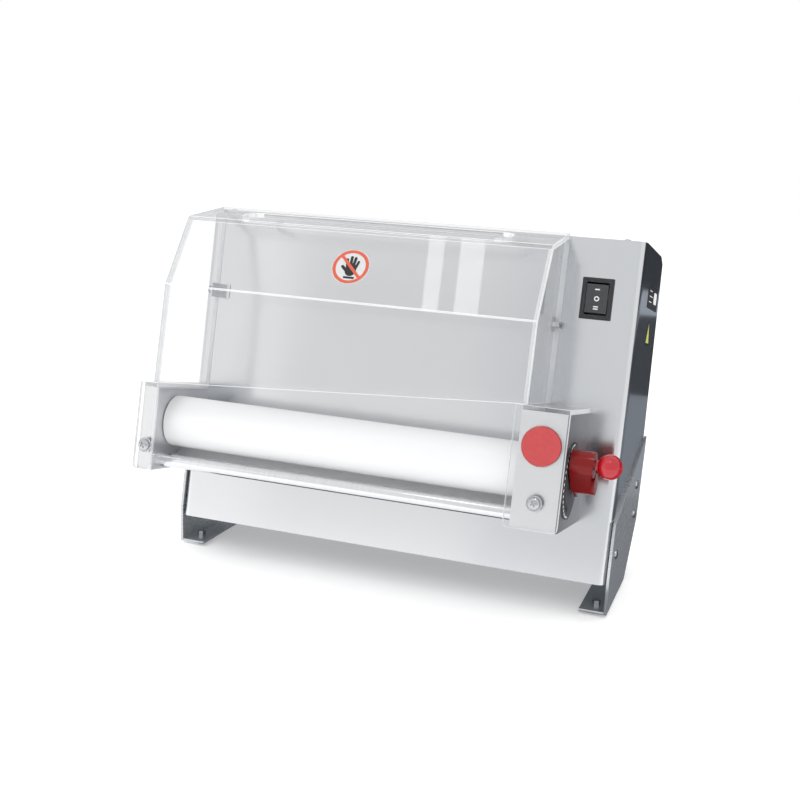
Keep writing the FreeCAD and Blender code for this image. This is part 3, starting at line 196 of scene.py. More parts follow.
def mottled(name, size, rough, shades=None, detail=2.0, stretch=(1, 1, 1), relief=None, **constants):
    """A finish with one noise in it. It moves the roughness from rough[0] by up to rough[1], the
    colour between two shades, and the relief, which is a (depth, strength) pair."""
    finish = Finish(name, **constants)
    grain = finish.noise(finish.place(stretch), size, detail)
    least, spread = rough
    colour = finish.mix(grain, *shades) if shades else None
    height, relief = (grain, relief) if relief else (None, (0.0, 0.0))
    return finish.surface(colour, grain * spread + least, height, *relief)


plated = mottled("Bright zinc plating", 900.0, (0.14, 0.12), ((0.40, 0.41, 0.43), (0.58, 0.585, 0.60)),
                 metallic=1.0, ior=2.4)


def same_body(piece, node):
    """Ride with the CAD node that the piece belongs to."""
    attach(piece, nodes[node]["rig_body"])


def settle(piece, finish=None, smooth=35.0):
    """Turn a piece and its modifiers into one plain mesh with smooth rounds and sharp edges."""
    graph = bpy.context.evaluated_depsgraph_get()
    mesh = bpy.data.meshes.new_from_object(piece.evaluated_get(graph))
    piece.modifiers.clear()
    piece.data = mesh
    if mesh.has_custom_normals:
        mesh.attributes.remove(mesh.attributes["custom_normal"])
    for face in mesh.polygons:
        face.use_smooth = True
    mesh.set_sharp_from_angle(angle=math.radians(smooth))
    if finish is not None:
        mesh.materials.clear()
        mesh.materials.append(finish.material)
    return piece


def new_piece(name, mesh):
    piece = bpy.data.objects.new(name, mesh)
    bpy.context.scene.collection.objects.link(piece)
    return piece


def turned(name, profile, steps, ring=False):
    """A lathe shape about +Z from (radius, height) points. The first and last of them are on the
    axis, or with ring they are joined to each other round a bore."""
    shape = bmesh.new()
    spots = [shape.verts.new((radius, 0.0, height)) for radius, height in profile]
    edges = [shape.edges.new(pair) for pair in zip(spots, spots[1:] + spots[:1] * ring)]
    bmesh.ops.spin(shape, geom=spots + edges, axis=(0, 0, 1), cent=(0, 0, 0),
                   angle=math.tau, steps=steps, use_duplicate=False)
    bmesh.ops.remove_doubles(shape, verts=shape.verts, dist=1e-6)
    bmesh.ops.recalc_face_normals(shape, faces=shape.faces)
    mesh = bpy.data.meshes.new(name)
    shape.to_mesh(mesh)
    shape.free()
    return mesh


RIM, CROSS_LONG, CROSS_WIDE = 0.35, 1.05, 0.24      # shares of a head's height and radius
DOME_STEPS = 6


def cross_head(name, radius, height, recess):
    """A domed screw head with a cross recess, standing on z = 0."""
    rim = height * RIM
    dome = [(0.0, 0.0), (radius, 0.0), (radius, rim)]
    for step in range(1, DOME_STEPS + 1):
        angle = step / DOME_STEPS * math.pi / 2
        dome.append((radius * math.cos(angle), rim + (height - rim) * math.sin(angle)))
    dome[-1] = (0.0, height)
    head = new_piece(name, turned(name, dome, 24))
    cross = bmesh.new()
    for turn in (0.0, math.pi / 2):
        bar = bmesh.ops.create_cube(cross, size=1.0)["verts"]
        size = (radius * CROSS_LONG, radius * CROSS_WIDE, recess * 2)
        bmesh.ops.scale(cross, vec=size, verts=bar)
        bmesh.ops.rotate(cross, matrix=Matrix.Rotation(turn, 3, "Z"), verts=bar)
        bmesh.ops.translate(cross, vec=(0, 0, height), verts=bar)
    mesh = bpy.data.meshes.new(name + "_cross")
    cross.to_mesh(mesh)
    cross.free()
    cutter = new_piece(name + "_cross", mesh)
    carve = head.modifiers.new("Recess", "BOOLEAN")
    carve.operation = "DIFFERENCE"
    carve.use_self = True
    carve.object = cutter
    settle(head, None, 40.0)
    bpy.data.objects.remove(cutter)
    head.hide_render = True
    return head


def scatter_tree():
    """Geometry Nodes: set one part on every point, its +Z along the point's facing."""
    tree = bpy.data.node_groups.new("Set parts on points", "GeometryNodeTree")
    face = tree.interface
    face.new_socket("Points", in_out="INPUT", socket_type="NodeSocketGeometry")
    face.new_socket("Part", in_out="INPUT", socket_type="NodeSocketObject")
    face.new_socket("Finish", in_out="INPUT", socket_type="NodeSocketMaterial")
    face.new_socket("Turn", in_out="INPUT", socket_type="NodeSocketFloat")
    face.new_socket("Result", in_out="OUTPUT", socket_type="NodeSocketGeometry")

    def add(kind, **settings):
        node = tree.nodes.new(kind)
        for name, value in settings.items():
            setattr(node, name, value)
        return node

    start = add("NodeGroupInput")
    end = add("NodeGroupOutput")
    part = add("GeometryNodeObjectInfo", transform_space="ORIGINAL")
    facing = add("GeometryNodeInputNamedAttribute", data_type="FLOAT_VECTOR")
    facing.inputs["Name"].default_value = "facing"
    aim = add("FunctionNodeAlignRotationToVector", axis="Z")
    spin = add("FunctionNodeRotateRotation", rotation_space="LOCAL")
    twist = add("FunctionNodeAxisAngleToRotation")
    twist.inputs["Axis"].default_value = (0, 0, 1)
    lay = add("GeometryNodeInstanceOnPoints")
    real = add("GeometryNodeRealizeInstances")
    paint = add("GeometryNodeSetMaterial")
    wires = ((start, "Points", lay, "Points"), (start, "Part", part, "Object"),
             (part, "Geometry", lay, "Instance"), (facing, "Attribute", aim, "Vector"),
             (start, "Turn", twist, "Angle"), (aim, "Rotation", spin, "Rotation"),
             (twist, "Rotation", spin, "Rotate By"), (spin, "Rotation", lay, "Rotation"),
             (lay, "Instances", real, "Geometry"), (real, "Geometry", paint, "Geometry"),
             (start, "Finish", paint, "Material"), (paint, "Geometry", end, "Result"))
    for source, output, target, entry in wires:
        tree.links.new(source.outputs[output], target.inputs[entry])
    return tree


SCATTER = scatter_tree()


def scatter(name, part, spots, finish, turn, smooth=35.0):
    """Copies of a part at (place, facing) spots, in metres, as one plain mesh."""
    mesh = bpy.data.meshes.new(name)
    mesh.from_pydata([place for place, _ in spots], [], [])
    facing = mesh.attributes.new("facing", "FLOAT_VECTOR", "POINT")
    for index, (_, direction) in enumerate(spots):
        facing.data[index].vector = direction
    piece = new_piece(name, mesh)
    setting = piece.modifiers.new("Parts", "NODES")
    setting.node_group = SCATTER
    sockets = {item.name: item.identifier for item in SCATTER.interface.items_tree}
    setting[sockets["Part"]] = part
    setting[sockets["Finish"]] = finish.material
    setting[sockets["Turn"]] = turn
    settle(piece, finish, smooth)
    return piece


MERGE = 2e-6            # points nearer than this, in metres, are one point


def clusters(node):
    """The separate solids of a CAD node, each as a list of its points in metres."""
    shape = bmesh.new()
    shape.from_mesh(nodes[node].data)
    bmesh.ops.remove_doubles(shape, verts=shape.verts, dist=MERGE)
    seen = set()
    found = []
    for vert in shape.verts:
        if vert in seen:
            continue
        heap = [vert]
        seen.add(vert)
        members = []
        while heap:
            spot = heap.pop()
            members.append(spot.co.copy())
            for edge in spot.link_edges:
                other = edge.other_vert(spot)
                if other not in seen:
                    seen.add(other)
                    heap.append(other)
        found.append(members)
    shape.free()
    return found


ON_TOP, AT_MIDDLE, UNEVEN = 1e-5, 1e-4, 2e-4        # metres
FEWEST = 8              # points round a cap


def heads(node, ways):
    """The tops of a CAD node's screw heads, as (place, way) pairs. Of the ways given, a head
    faces the one where its solid ends in the widest round cap."""
    spots = []
    for members in clusters(node):
        best = None
        for way in ways:
            top = max(spot.dot(way) for spot in members)
            cap = [spot for spot in members if spot.dot(way) > top - ON_TOP]
            middle = sum(cap, Vector()) / len(cap)
            reach = [(spot - middle).length for spot in cap]
            uneven = max(reach) - min(value for value in reach if value > AT_MIDDLE)
            if len(cap) > FEWEST and uneven < UNEVEN and (best is None or max(reach) > best[2]):
                best = (middle, way, max(reach))
        if best is not None:
            spots.append(best[:2])
    return spots


UP, OUT, LEFT, RIGHT = lean_way(0, 0, 1), lean_way(0, -1, 0), lean_way(-1, 0, 0), lean_way(1, 0, 0)
rear_face = max(nodes["rear_cover"].data.polygons, key=lambda face: face.area * (face.normal.y > 0))
REAR = rear_face.normal.copy()

PAN_HEIGHT = 0.0024


def pan_screws(name, node, part, ways, turn):
    """A pan head on every screw of a CAD node."""
    spots = [(place - way * PAN_HEIGHT, way) for place, way in heads(node, ways)]
    piece = scatter(name, part, spots, plated, turn)
    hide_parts(node)
    same_body(piece, node)


pan = cross_head("pan_head", 0.0040, PAN_HEIGHT, 0.0011)
pan_screws("cover_screw_heads", "cover_screws", pan, (UP, REAR), 0.6)
skid_pan = cross_head("skid_head", 0.0050, PAN_HEIGHT, 0.0012)
pan_screws("skid_screw_heads", "skid_screws", skid_pan, (LEFT, RIGHT), 0.3)


# ---------------------------------------------------------------- rear louvres and gland
# Pressed hoods over the slots of the rear panel let the motor's heat out and keep flour off.
# The gland is moulded black nylon, screwed into the rear panel with a nut inside.

HOOD_LONG, HOOD_TALL, HOOD_OUT, HOOD_WALL = 0.116, 0.0085, 0.0024, 0.0005
HOOD_OVER, HOOD_END = 0.0035, 0.007
ACROSS_STEPS, UP_STEPS = 36, 8
hood_shape = bmesh.new()
grid = []
for column in range(ACROSS_STEPS + 1):
    x = (column / ACROSS_STEPS - 0.5) * HOOD_LONG
    from_end = min(1.0, (HOOD_LONG / 2 - abs(x)) / HOOD_END)
    swell = math.sqrt(max(0.0, 1.0 - (1.0 - from_end) ** 2))
    line = []
    for row in range(UP_STEPS + 1):
        share = row / UP_STEPS
        rise = HOOD_OUT * swell * math.sqrt(max(0.0, 1.0 - share * share))
        line.append(hood_shape.verts.new((x, HOOD_OVER - share * HOOD_TALL, rise)))
    grid.append(line)
for first, second in zip(grid, grid[1:]):
    for row in range(UP_STEPS):
        hood_shape.faces.new((first[row], first[row + 1], second[row + 1], second[row]))
bmesh.ops.recalc_face_normals(hood_shape, faces=hood_shape.faces)
hood_mesh = bpy.data.meshes.new("louvre_hood")
hood_shape.to_mesh(hood_mesh)
hood_shape.free()
if sum(face.normal.z for face in hood_mesh.polygons) < 0:
    hood_mesh.flip_normals()
hood = new_piece("louvre_hood", hood_mesh)
wall = hood.modifiers.new("Wall", "SOLIDIFY")
wall.thickness = HOOD_WALL
wall.offset = -1.0
settle(hood, sheet_level)
hood.hide_render = True

REAR_FOOT = LEANED @ Vector((0, 194, 56))
REAR_SLOPE = math.radians(6.09)
BANKS, ROWS, FIRST_ROW, ROW_STEP = (-0.095, 0.095), 9, 0.1225, 0.014
up_rear = lean_way(0, -math.sin(REAR_SLOPE), math.cos(REAR_SLOPE))
face_depth = rear_face.center.dot(REAR)
hood_spots = []
for x in BANKS:
    for row in range(ROWS):
        spot = REAR_FOOT + up_rear * (FIRST_ROW + ROW_STEP * row) + Vector((x, 0, 0))
        hood_spots.append((spot + REAR * (face_depth - spot.dot(REAR)), REAR))
hoods = scatter("louvre_hoods", hood, hood_spots, sheet_level, 0.0)
same_body(hoods, "rear_cover")

LARGE_PLANE = 0.00015        # square metres


def flatten(mesh):
    """Shade each large plane of a mesh flat, so that its rounds don't bend the light on it."""
    planes = {}
    for face in mesh.polygons:
        way = face.normal
        key = (round(way.x, 2), round(way.y, 2), round(way.z, 2), round(way.dot(face.center), 4))
        planes.setdefault(key, []).append(face)
    for faces in planes.values():
        if sum(face.area for face in faces) > LARGE_PLANE:
            for face in faces:
                face.use_smooth = False


LEVEL_ENOUGH = math.radians(0.6)


def eased(node, finish, width, segments=2, angle=40.0):
    """A CAD node with its sharp edges rounded, in the node's own place."""
    shape = bmesh.new()
    shape.from_mesh(nodes[node].data)
    bmesh.ops.remove_doubles(shape, verts=shape.verts, dist=MERGE)
    edges = [edge for edge in shape.edges if len(edge.link_faces) == 2]
    bmesh.ops.dissolve_limit(shape, angle_limit=LEVEL_ENOUGH, verts=shape.verts, edges=edges)
    mesh = bpy.data.meshes.new(node + "_eased")
    shape.to_mesh(mesh)
    shape.free()
    piece = new_piece(mesh.name, mesh)
    bevel = piece.modifiers.new("Edges", "BEVEL")
    bevel.width = width
    bevel.segments = segments
    bevel.limit_method = "ANGLE"
    bevel.angle_limit = math.radians(angle)
    bevel.use_clamp_overlap = True
    settle(piece, finish)
    flatten(piece.data)
    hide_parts(node)
    same_body(piece, node)
    return piece


gland_nylon = mottled("Black nylon", 1400.0, (0.42, 0.15), relief=(0.00003, 0.3),
                      base_color=(0.02, 0.02, 0.022, 1), ior=1.45)
eased("cable_gland", gland_nylon, 0.0005)


# ---------------------------------------------------------------- skids, bolts and feet
# Each skid is 3 mm stainless plate screwed to a side, with a flange bent in along the worktop.
# Hexagon bolts go down through the flange into rubber pads.

skid_sheet = brushed("Satin stainless, skid", (0.55, 0.57, 0.59), "z", 0.26, 0.06, 0.65)
eased("left_skid", skid_sheet, 0.0012)
eased("right_skid", skid_sheet, 0.0012)

rubber = mottled("Moulded rubber", 1100.0, (0.65, 0.2), detail=3.0, relief=(0.00005, 0.4),
                 base_color=(0.025, 0.025, 0.027, 1), ior=1.5)
eased("rubber_feet", rubber, 0.0008)

CHAMFER_FROM, CHAMFER_IN = 0.85, 0.84


def hexagon_head(name, across, height):
    """A hexagon bolt head with its chamfered top, standing on z = 0."""
    corner = across / math.sqrt(3)
    profile = [(0.0, 0.0), (corner, 0.0), (corner, height * CHAMFER_FROM),
               (corner * CHAMFER_IN, height), (0.0, height)]
    head = new_piece(name, turned(name, profile, 6))
    settle(head, None, 20.0)
    head.hide_render = True
    return head


bolt_low, bolt_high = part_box("foot_bolts")
bolt = hexagon_head("foot_bolt", 0.0085, bolt_high.z - bolt_low.z)
bolt_spots = []
for members in clusters("foot_bolts"):
    middle = sum(members, Vector()) / len(members)
    bolt_spots.append((Vector((middle.x, middle.y, bolt_low.z)), Vector((0, 0, 1))))
bolts = scatter("foot_bolt_heads", bolt, bolt_spots, plated, 0.2, 20.0)
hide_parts("foot_bolts")
same_body(bolts, "foot_bolts")


# ---------------------------------------------------------------- end blocks
# Folded satin stainless covers over milled aluminium bearing plates. The right one houses the
# gears and the gap cams and is closed by a side cover that carries the dial.

block_sheet = brushed("Satin stainless, end blocks", (0.78, 0.785, 0.79), "z", 0.30, 0.08)
eased("left_block_cover", block_sheet, 0.0006)
eased("gear_housing", block_sheet, 0.0006)
# The side cover is the same stainless, darkened far below the covers' own: painted shade for the side that
# faces away from the key light.
side_cover_painted_shade = brushed("Satin stainless, side cover", (0.28, 0.29, 0.305), "z", 0.34, 0.08)
dress(side_cover_painted_shade, "housing_side_cover")

milled = mottled("Milled aluminium", 1.0, (0.28, 0.15), ((0.60, 0.61, 0.63), (0.74, 0.75, 0.77)),
                 stretch=(1500.0, 40.0, 40.0), relief=(0.00002, 0.3), metallic=1.0, ior=1.5)
dress(milled, "left_bearing_plate", "right_bearing_plate", "left_bearing_carrier",
      "right_bearing_carrier", "motor_pulley_wheel", "roller_pulley_wheel")

ground = mottled("Ground steel", 1.0, (0.20, 0.12), ((0.50, 0.51, 0.52), (0.66, 0.67, 0.68)),
                 stretch=(900.0, 12.0, 12.0), metallic=1.0, ior=2.5)
dress(ground, "front_roller_tube", "rear_roller_shaft", "gearbox_shaft", "lever_cross_shaft",
      "index_pin", "front_roller_gear", "rear_roller_gear", "left_gap_cam", "right_gap_cam",
      "front_roller_bearings", "rear_roller_bearings")

brass = mottled("Turned brass", 120.0, (0.25, 0.15), ((0.55, 0.37, 0.13), (0.75, 0.56, 0.26)), 3.0,
                metallic=1.0, ior=1.2)
dress(brass, "lever_bushes")


# ---------------------------------------------------------------- rollers
# Both rollers are turned white acetal sleeves, pressed on steel, with the edge at each end
# rounded off. A fine turning grain shows only in the sheen.

ACETAL = (0.80, 0.805, 0.81)
acetal = Finish("White acetal", ior=1.48)
turning = acetal.noise(acetal.place((2200.0, 30.0, 30.0)), 1.0, 2.0)
flour = acetal.noise(acetal.place(), 26.0, 4.0)
dusted = acetal.mix(flour, tuple(c * 0.97 for c in ACETAL), ACETAL)
acetal.surface(dusted, turning * 0.10 + flour * 0.06 + 0.30, turning, 0.00001, 0.15)


def turned_node(node, profile, steps, finish, ring=False, smooth=35.0):
    """A lathe shape in place of a CAD node that lies along X; its z = 0 is the left end."""
    mesh = turned(node + "_turned", profile, steps, ring)
    first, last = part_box(node)
    middle = (first + last) / 2
    stand = Matrix.Translation((first.x, middle.y, middle.z)) @ Matrix.Rotation(math.pi / 2, 4, "Y")
    mesh.transform(stand)
    piece = settle(new_piece(mesh.name, mesh), finish, smooth)
    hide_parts(node)
    same_body(piece, node)


ROUND_OFF, ROUND_STEPS, SLEEVE_ROOM = 0.0012, 4, 0.00005


def roller(node, core):
    """A sleeve with rounded ends and a bore that clears the steel core it is pressed on."""
    first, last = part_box(node)
    radius = (last.z - first.z) / 2
    core_low, core_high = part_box(core)
    bore = (core_high.z - core_low.z) / 2 + SLEEVE_ROOM
    profile = [(bore, 0.0), (radius - ROUND_OFF, 0.0)]
    for step in range(1, ROUND_STEPS + 1):
        angle = step / ROUND_STEPS * math.pi / 2
        profile.append((radius - ROUND_OFF + ROUND_OFF * math.sin(angle),
                        ROUND_OFF - ROUND_OFF * math.cos(angle)))
    profile += [(spot, last.x - first.x - height) for spot, height in reversed(profile)]
    turned_node(node, profile, 96, acetal, True, 30.0)


roller("front_roller_sleeve", "front_roller_tube")
roller("rear_roller_sleeve", "rear_roller_shaft")


# ---------------------------------------------------------------- tie rod and scrapers
# A polished stainless rod ties the two blocks together in front of the roller. Two thin
# stainless blades stand a hair off the rollers and keep dough from wrapping round them.

polished = mottled("Polished stainless", 1.0, (0.12, 0.08), ((0.66, 0.67, 0.69), (0.76, 0.77, 0.785)),
                   stretch=(400.0, 9.0, 9.0), metallic=1.0, ior=2.7)
dress(polished, "tie_rod")
# The blades' stainless is lighter and less metallic than the body's: painted light, so that the gap under the
# front roller reads lighter.
blade_sheet_painted_light = brushed("Spring stainless, scrapers", (0.84, 0.85, 0.86), "z", 0.42, 0.1, 0.35)
dress(blade_sheet_painted_light, "front_scraper", "rear_scraper")


# ---------------------------------------------------------------- gap lever and knob
# The lever is die-cast and enamelled red, keyed to the cross shaft. Its ball knob of polished
# red phenolic pulls out to lift the index pin from the dial.

enamel = Finish("Red enamel", ior=1.36)
orange_peel = enamel.noise(enamel.place(), 420.0, 2.0)
worn = enamel.noise(enamel.place(), 60.0, 4.0)
enamel.surface(enamel.mix(worn, (0.14, 0.001, 0.001), (0.23, 0.003, 0.003)), worn * 0.10 + 0.16,
               orange_peel, 0.00006, 0.25)
eased("gap_lever", enamel, 0.0012, 3)

phenolic = mottled("Red phenolic", 70.0, (0.10, 0.06), ((0.38, 0.004, 0.010), (0.52, 0.008, 0.020)), 3.0,
                   ior=1.45, coat_weight=0.6, coat_roughness=0.04)
NECK, NECK_EASE, BALL_STEPS = 0.0055, 0.0006, 24
knob_low, knob_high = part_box("ball_knob")
ball_radius = (knob_high.z - knob_low.z) / 2
ball_middle = knob_high.x - knob_low.x - ball_radius
profile = [(0.0, 0.0), (NECK - NECK_EASE, 0.0), (NECK, NECK_EASE)]
start = math.asin(NECK / ball_radius)
for step in range(BALL_STEPS + 1):
    angle = start + (math.pi - start) * step / BALL_STEPS
    profile.append((ball_radius * math.sin(angle), ball_middle - ball_radius * math.cos(angle)))
profile[-1] = (0.0, ball_middle + ball_radius)
turned_node("ball_knob", profile, 64, phenolic)


# ---------------------------------------------------------------- dial
# A thin plate on the side cover, enamelled grey and drilled for the index pin. White marks
# printed round it show the gap, between two curved end marks.

dial_enamel = mottled("Grey dial enamel", 500.0, (0.50, 0.12),
                      ((0.06, 0.065, 0.072), (0.09, 0.095, 0.105)), ior=1.4, metallic=0.2)
dress(dial_enamel, "index_dial")

white_print = mottled("White print", 900.0, (0.45, 0.2), base_color=(0.86, 0.86, 0.86, 1), ior=1.45)

dial_low, dial_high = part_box("index_dial")
dial_middle = (dial_low + dial_high) / 2
dial_reach = (dial_high.z - dial_low.z) / 2
DIAL = Matrix.Translation((dial_high.x, dial_middle.y, dial_middle.z)) @ Matrix((
    (0, 0, 1, 0), (1, 0, 0, 0), (0, 1, 0, 0), (0, 0, 0, 1))) @ Matrix.Rotation(-LEAN, 4, "Z")
PRINT = 0.00012


def slab(name, outline, thickness):
    """A flat shape in X and Y from a closed outline, standing on z = 0."""
    shape = bmesh.new()
    face = shape.faces.new([shape.verts.new((x, y, 0.0)) for x, y in outline])
    solid = bmesh.ops.extrude_face_region(shape, geom=[face])
    raised = [item for item in solid["geom"] if isinstance(item, bmesh.types.BMVert)]
    bmesh.ops.translate(shape, vec=(0, 0, thickness), verts=raised)
    bmesh.ops.recalc_face_normals(shape, faces=shape.faces)
    mesh = bpy.data.meshes.new(name)
    shape.to_mesh(mesh)
    shape.free()
    return mesh


def arc_band(inner, outer, first, last, steps=16):
    """The outline of a band between two radii and two angles, in degrees."""
    angles = [math.radians(first + (last - first) * step / steps) for step in range(steps + 1)]
    rim = [(outer * math.cos(a), outer * math.sin(a)) for a in angles]
    return rim + [(inner * math.cos(a), inner * math.sin(a)) for a in reversed(angles)]


def ring_of(radius, steps):
    angles = [math.tau * step / steps for step in range(steps)]
    return [(radius * math.cos(a), radius * math.sin(a)) for a in angles]


def print_on(name, outline, base, thickness, plane, finish, node):
    """A thin flat shape at a height above a plane, riding with its node. The notice stays out of
    the front panel's gloss."""
    mesh = slab(name, outline, thickness)
    mesh.transform(plane @ Matrix.Translation((0, 0, base)))
    piece = settle(new_piece(name, mesh), finish)
    piece.visible_glossy = node != "guard_notice"
    same_body(piece, node)
    return piece


MARKS, FIRST_MARK, MARK_STEP = 15, 115.0, 9.5       # degrees, from the rear upwards
MARK_RADIUS, MARK_IN = 0.0015, 0.0022
END_MARKS, END_INNER, END_OUTER = ((92, 108), (254, 268)), 0.0032, 0.0018

dot = new_piece("dial_mark", slab("dial_mark", ring_of(MARK_RADIUS, 12), PRINT))
dot.hide_render = True
mark_spots = []
for step in range(MARKS):
    angle = math.radians(FIRST_MARK + MARK_STEP * step)
    reach = dial_reach - MARK_IN
    mark_spots.append((DIAL @ Vector((reach * math.cos(angle), reach * math.sin(angle), 0)), RIGHT))
dots = scatter("dial_marks", dot, mark_spots, white_print, 0.0)
same_body(dots, "index_dial")
for index, (first, last) in enumerate(END_MARKS):
    band = arc_band(dial_reach - END_INNER, dial_reach - END_OUTER, first, last)
    print_on(f"dial_end_{index}", band, 0.0, PRINT, DIAL, white_print, "index_dial")


# ---------------------------------------------------------------- clear guard
# Flame-polished clear acrylic sheet, bent in three facets and cemented to two side panels and
# to a shoe on each block. Cut edges gather light and look milky; this is painted light, and the eased arrises
# carry a near-white painted highlight.

acrylic = Finish("Clear acrylic", metallic=1.0, roughness=0.02)
wipe = acrylic.noise(acrylic.place((1.0, 1.0, 6.0)), 30.0, 3.0)
slant = acrylic.node("LayerWeight", None, {"Blend": 0.5}, out="Facing")
acrylic.surface(acrylic.mix(slant ** 3.0, (0.64, 0.65, 0.66), (0.20, 0.215, 0.23)), None,
                alpha=slant ** 5.0 * 0.90 + (wipe * 0.03 + 0.045))
# Painted light on the edges: the cut edges are painted pale and milky, and the eased arrises near-white as a
# painted highlight.
cut_edge_painted_light = mottled("Cut acrylic edge", 45.0, (0.25, 0.1), ((0.72, 0.74, 0.76), (0.84, 0.85, 0.865)),
                      ior=1.49, alpha=0.80)
arris_painted_highlight = mottled("Flame-polished acrylic arris", 45.0, (0.15, 0.1),
                       ((0.84, 0.86, 0.87), (0.97, 0.975, 0.98)), ior=1.49, alpha=0.85)

FACET_LEAST = 2e-4          # square metres
GUARD_FACETS = []
for face in nodes["guard_hood"].data.polygons:
    if abs(face.normal.x) < 0.01 and face.area > FACET_LEAST:
        if not any(abs(face.normal.dot(known)) > 0.999 for known in GUARD_FACETS):
            GUARD_FACETS.append(face.normal.copy())

ARRIS, ARRIS_WIDEST, HAIR = 0.0005, 0.0018, 0.0001      # metres


def face_width(mesh, face):
    """How wide a face is across its longest edge, in metres."""
    corners = [mesh.vertices[index].co for index in face.vertices]
    longest = max((first - second).length for first, second in zip(corners, corners[1:] + corners[:1]))
    return face.area / longest


def sheet_of_acrylic(node, broad):
    """An acrylic node with eased edges. Its cut edges are painted hazy and its eased arrises near-white:
    painted light for the light that the edges gather. It stands a hair off the sheet metal it is fixed to, so
    that the two faces don't coincide."""
    piece = eased(node, acrylic, ARRIS, 1, 12.0)
    piece.data.materials.append(cut_edge_painted_light.material)
    piece.data.materials.append(arris_painted_highlight.material)
    for face in piece.data.polygons:
        if not any(abs(face.normal.dot(way)) > 0.995 for way in broad):
            face.material_index = 1 if face_width(piece.data, face) > ARRIS_WIDEST else 2
    for spot in piece.data.vertices:
        spot.co -= spot.normal * HAIR


ACROSS = Vector((1, 0, 0))
sheet_of_acrylic("guard_hood", GUARD_FACETS)
sheet_of_acrylic("guard_left_side", [ACROSS])
sheet_of_acrylic("guard_right_side", [ACROSS])
sheet_of_acrylic("guard_left_shoe", [OUT, UP])
sheet_of_acrylic("guard_right_shoe", [OUT, UP])

WASHER_RADIUS, WASHER_HEIGHT, WASHER_EASE = 0.0080, 0.0012, 0.0003
seat = max(spot.co.dot(OUT) for spot in nodes["guard_right_shoe"].data.vertices)
guard_heads = heads("guard_screws", (OUT, LEFT, RIGHT))
head_height = min(place.dot(OUT) for place, way in guard_heads if way == OUT) - seat - WASHER_HEIGHT
big_spots = [(place - way * head_height, way) for place, way in guard_heads if way == OUT]
washer_spots = [(place - way * WASHER_HEIGHT, way) for place, way in big_spots]
small_spots = [(place - way * PAN_HEIGHT, way) for place, way in guard_heads if way != OUT]
guard_pan = cross_head("guard_head", 0.0062, head_height, 0.0018)
guard_small = cross_head("guard_side_head", 0.0040, PAN_HEIGHT, 0.0011)
washer_profile = [(0.0, 0.0), (WASHER_RADIUS, 0.0), (WASHER_RADIUS, WASHER_HEIGHT - WASHER_EASE),
                  (WASHER_RADIUS - WASHER_EASE, WASHER_HEIGHT), (0.0, WASHER_HEIGHT)]
washer = new_piece("guard_washer", turned("guard_washer", washer_profile, 40))
washer.hide_render = True
for name, part, spots in (("guard_screw_heads", guard_pan, big_spots),
                          ("guard_side_screw_heads", guard_small, small_spots),
                          ("guard_screw_washers", washer, washer_spots)):
    fastener = scatter(name, part, spots, plated, 0.5)
    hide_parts("guard_screws")
    same_body(fastener, "guard_screws")


# ---------------------------------------------------------------- notice and side labels
# Printed films stuck on: a round "keep hands out" sign of a plain design on the guard, a blank
# rating plate and a small triangle on the right side.

notice_face = max(nodes["guard_notice"].data.polygons, key=lambda face: face.area * (face.normal.y < 0))
notice_low, notice_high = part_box("guard_notice")
notice_way = notice_face.normal.normalized()
notice_middle = (notice_low + notice_high) / 2
notice_up = notice_way.cross(ACROSS)
if notice_up.z < 0:
    notice_up = -notice_up
NOTICE = Matrix.Translation(notice_middle) @ Matrix((ACROSS, notice_up, notice_way)).transposed().to_4x4()
NOTICE_RADIUS = (notice_high.x - notice_low.x) / 2
FILM, FILM_BASE, RING_OUTER, RING_INNER, RING_BASE = 0.0002, -0.00025, 0.0008, 0.0042, 0.00012

film = mottled("Clear printed film", 700.0, (0.3, 0.2), base_color=(0.80, 0.80, 0.80, 1), alpha=0.35,
               ior=1.45)
red_print = mottled("Red print", 700.0, (0.35, 0.2), ((0.58, 0.085, 0.045), (0.68, 0.12, 0.065)), ior=1.45)
black_print = mottled("Black print", 700.0, (0.35, 0.2), base_color=(0.015, 0.015, 0.017, 1), ior=1.45)


def capsule(x, y, length, half, turn, steps=8):
    """The outline of a rounded bar from (x, y) along a direction in degrees."""
    angle = math.radians(turn)
    along = Vector((math.cos(angle), math.sin(angle)))
    points = []
    for centre, begin in ((Vector((x, y)) + along * length, -90), (Vector((x, y)), 90)):
        for step in range(steps + 1):
            a = angle + math.radians(begin + 180 * step / steps)
            points.append((centre.x + half * math.cos(a), centre.y + half * math.sin(a)))
    return points


film_disc = print_on("notice_film", ring_of(NOTICE_RADIUS, 64), FILM_BASE, FILM, NOTICE, film, "guard_notice")
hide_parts("guard_notice")
HAND = [("palm", capsule(0.0008, -0.0050, 0.0034, 0.0060, 90)),
        ("thumb", capsule(-0.0035, -0.0052, 0.0072, 0.0017, 138)),
        ("finger_a", capsule(-0.0036, -0.0005, 0.0088, 0.00155, 102)),
        ("finger_b", capsule(-0.0004, 0.0000, 0.0112, 0.00155, 93)),
        ("finger_c", capsule(0.0027, 0.0000, 0.0104, 0.00155, 86)),
        ("finger_d", capsule(0.0054, -0.0020, 0.0086, 0.00140, 76)),
        ("cuff", [(-0.0050, -0.0140), (0.0066, -0.0140), (0.0068, -0.0116), (-0.0052, -0.0116)])]
for step, (name, outline) in enumerate(HAND):
    base = -0.00005 + step * 0.00001
    print_on(f"notice_{name}", outline, base, 0.00008, NOTICE, black_print, "guard_notice")
bar_outline = capsule(-0.0115, 0.0115, 0.0325, 0.0016, -45)
print_on("notice_bar", bar_outline, RING_BASE, 0.00006, NOTICE, red_print, "guard_notice")
for half in (0, 1):
    band = arc_band(NOTICE_RADIUS - RING_INNER, NOTICE_RADIUS - RING_OUTER, 180 * half, 180 * half + 180, 40)
    print_on(f"notice_ring_{half}", band, RING_BASE, 0.00008, NOTICE, red_print, "guard_notice")

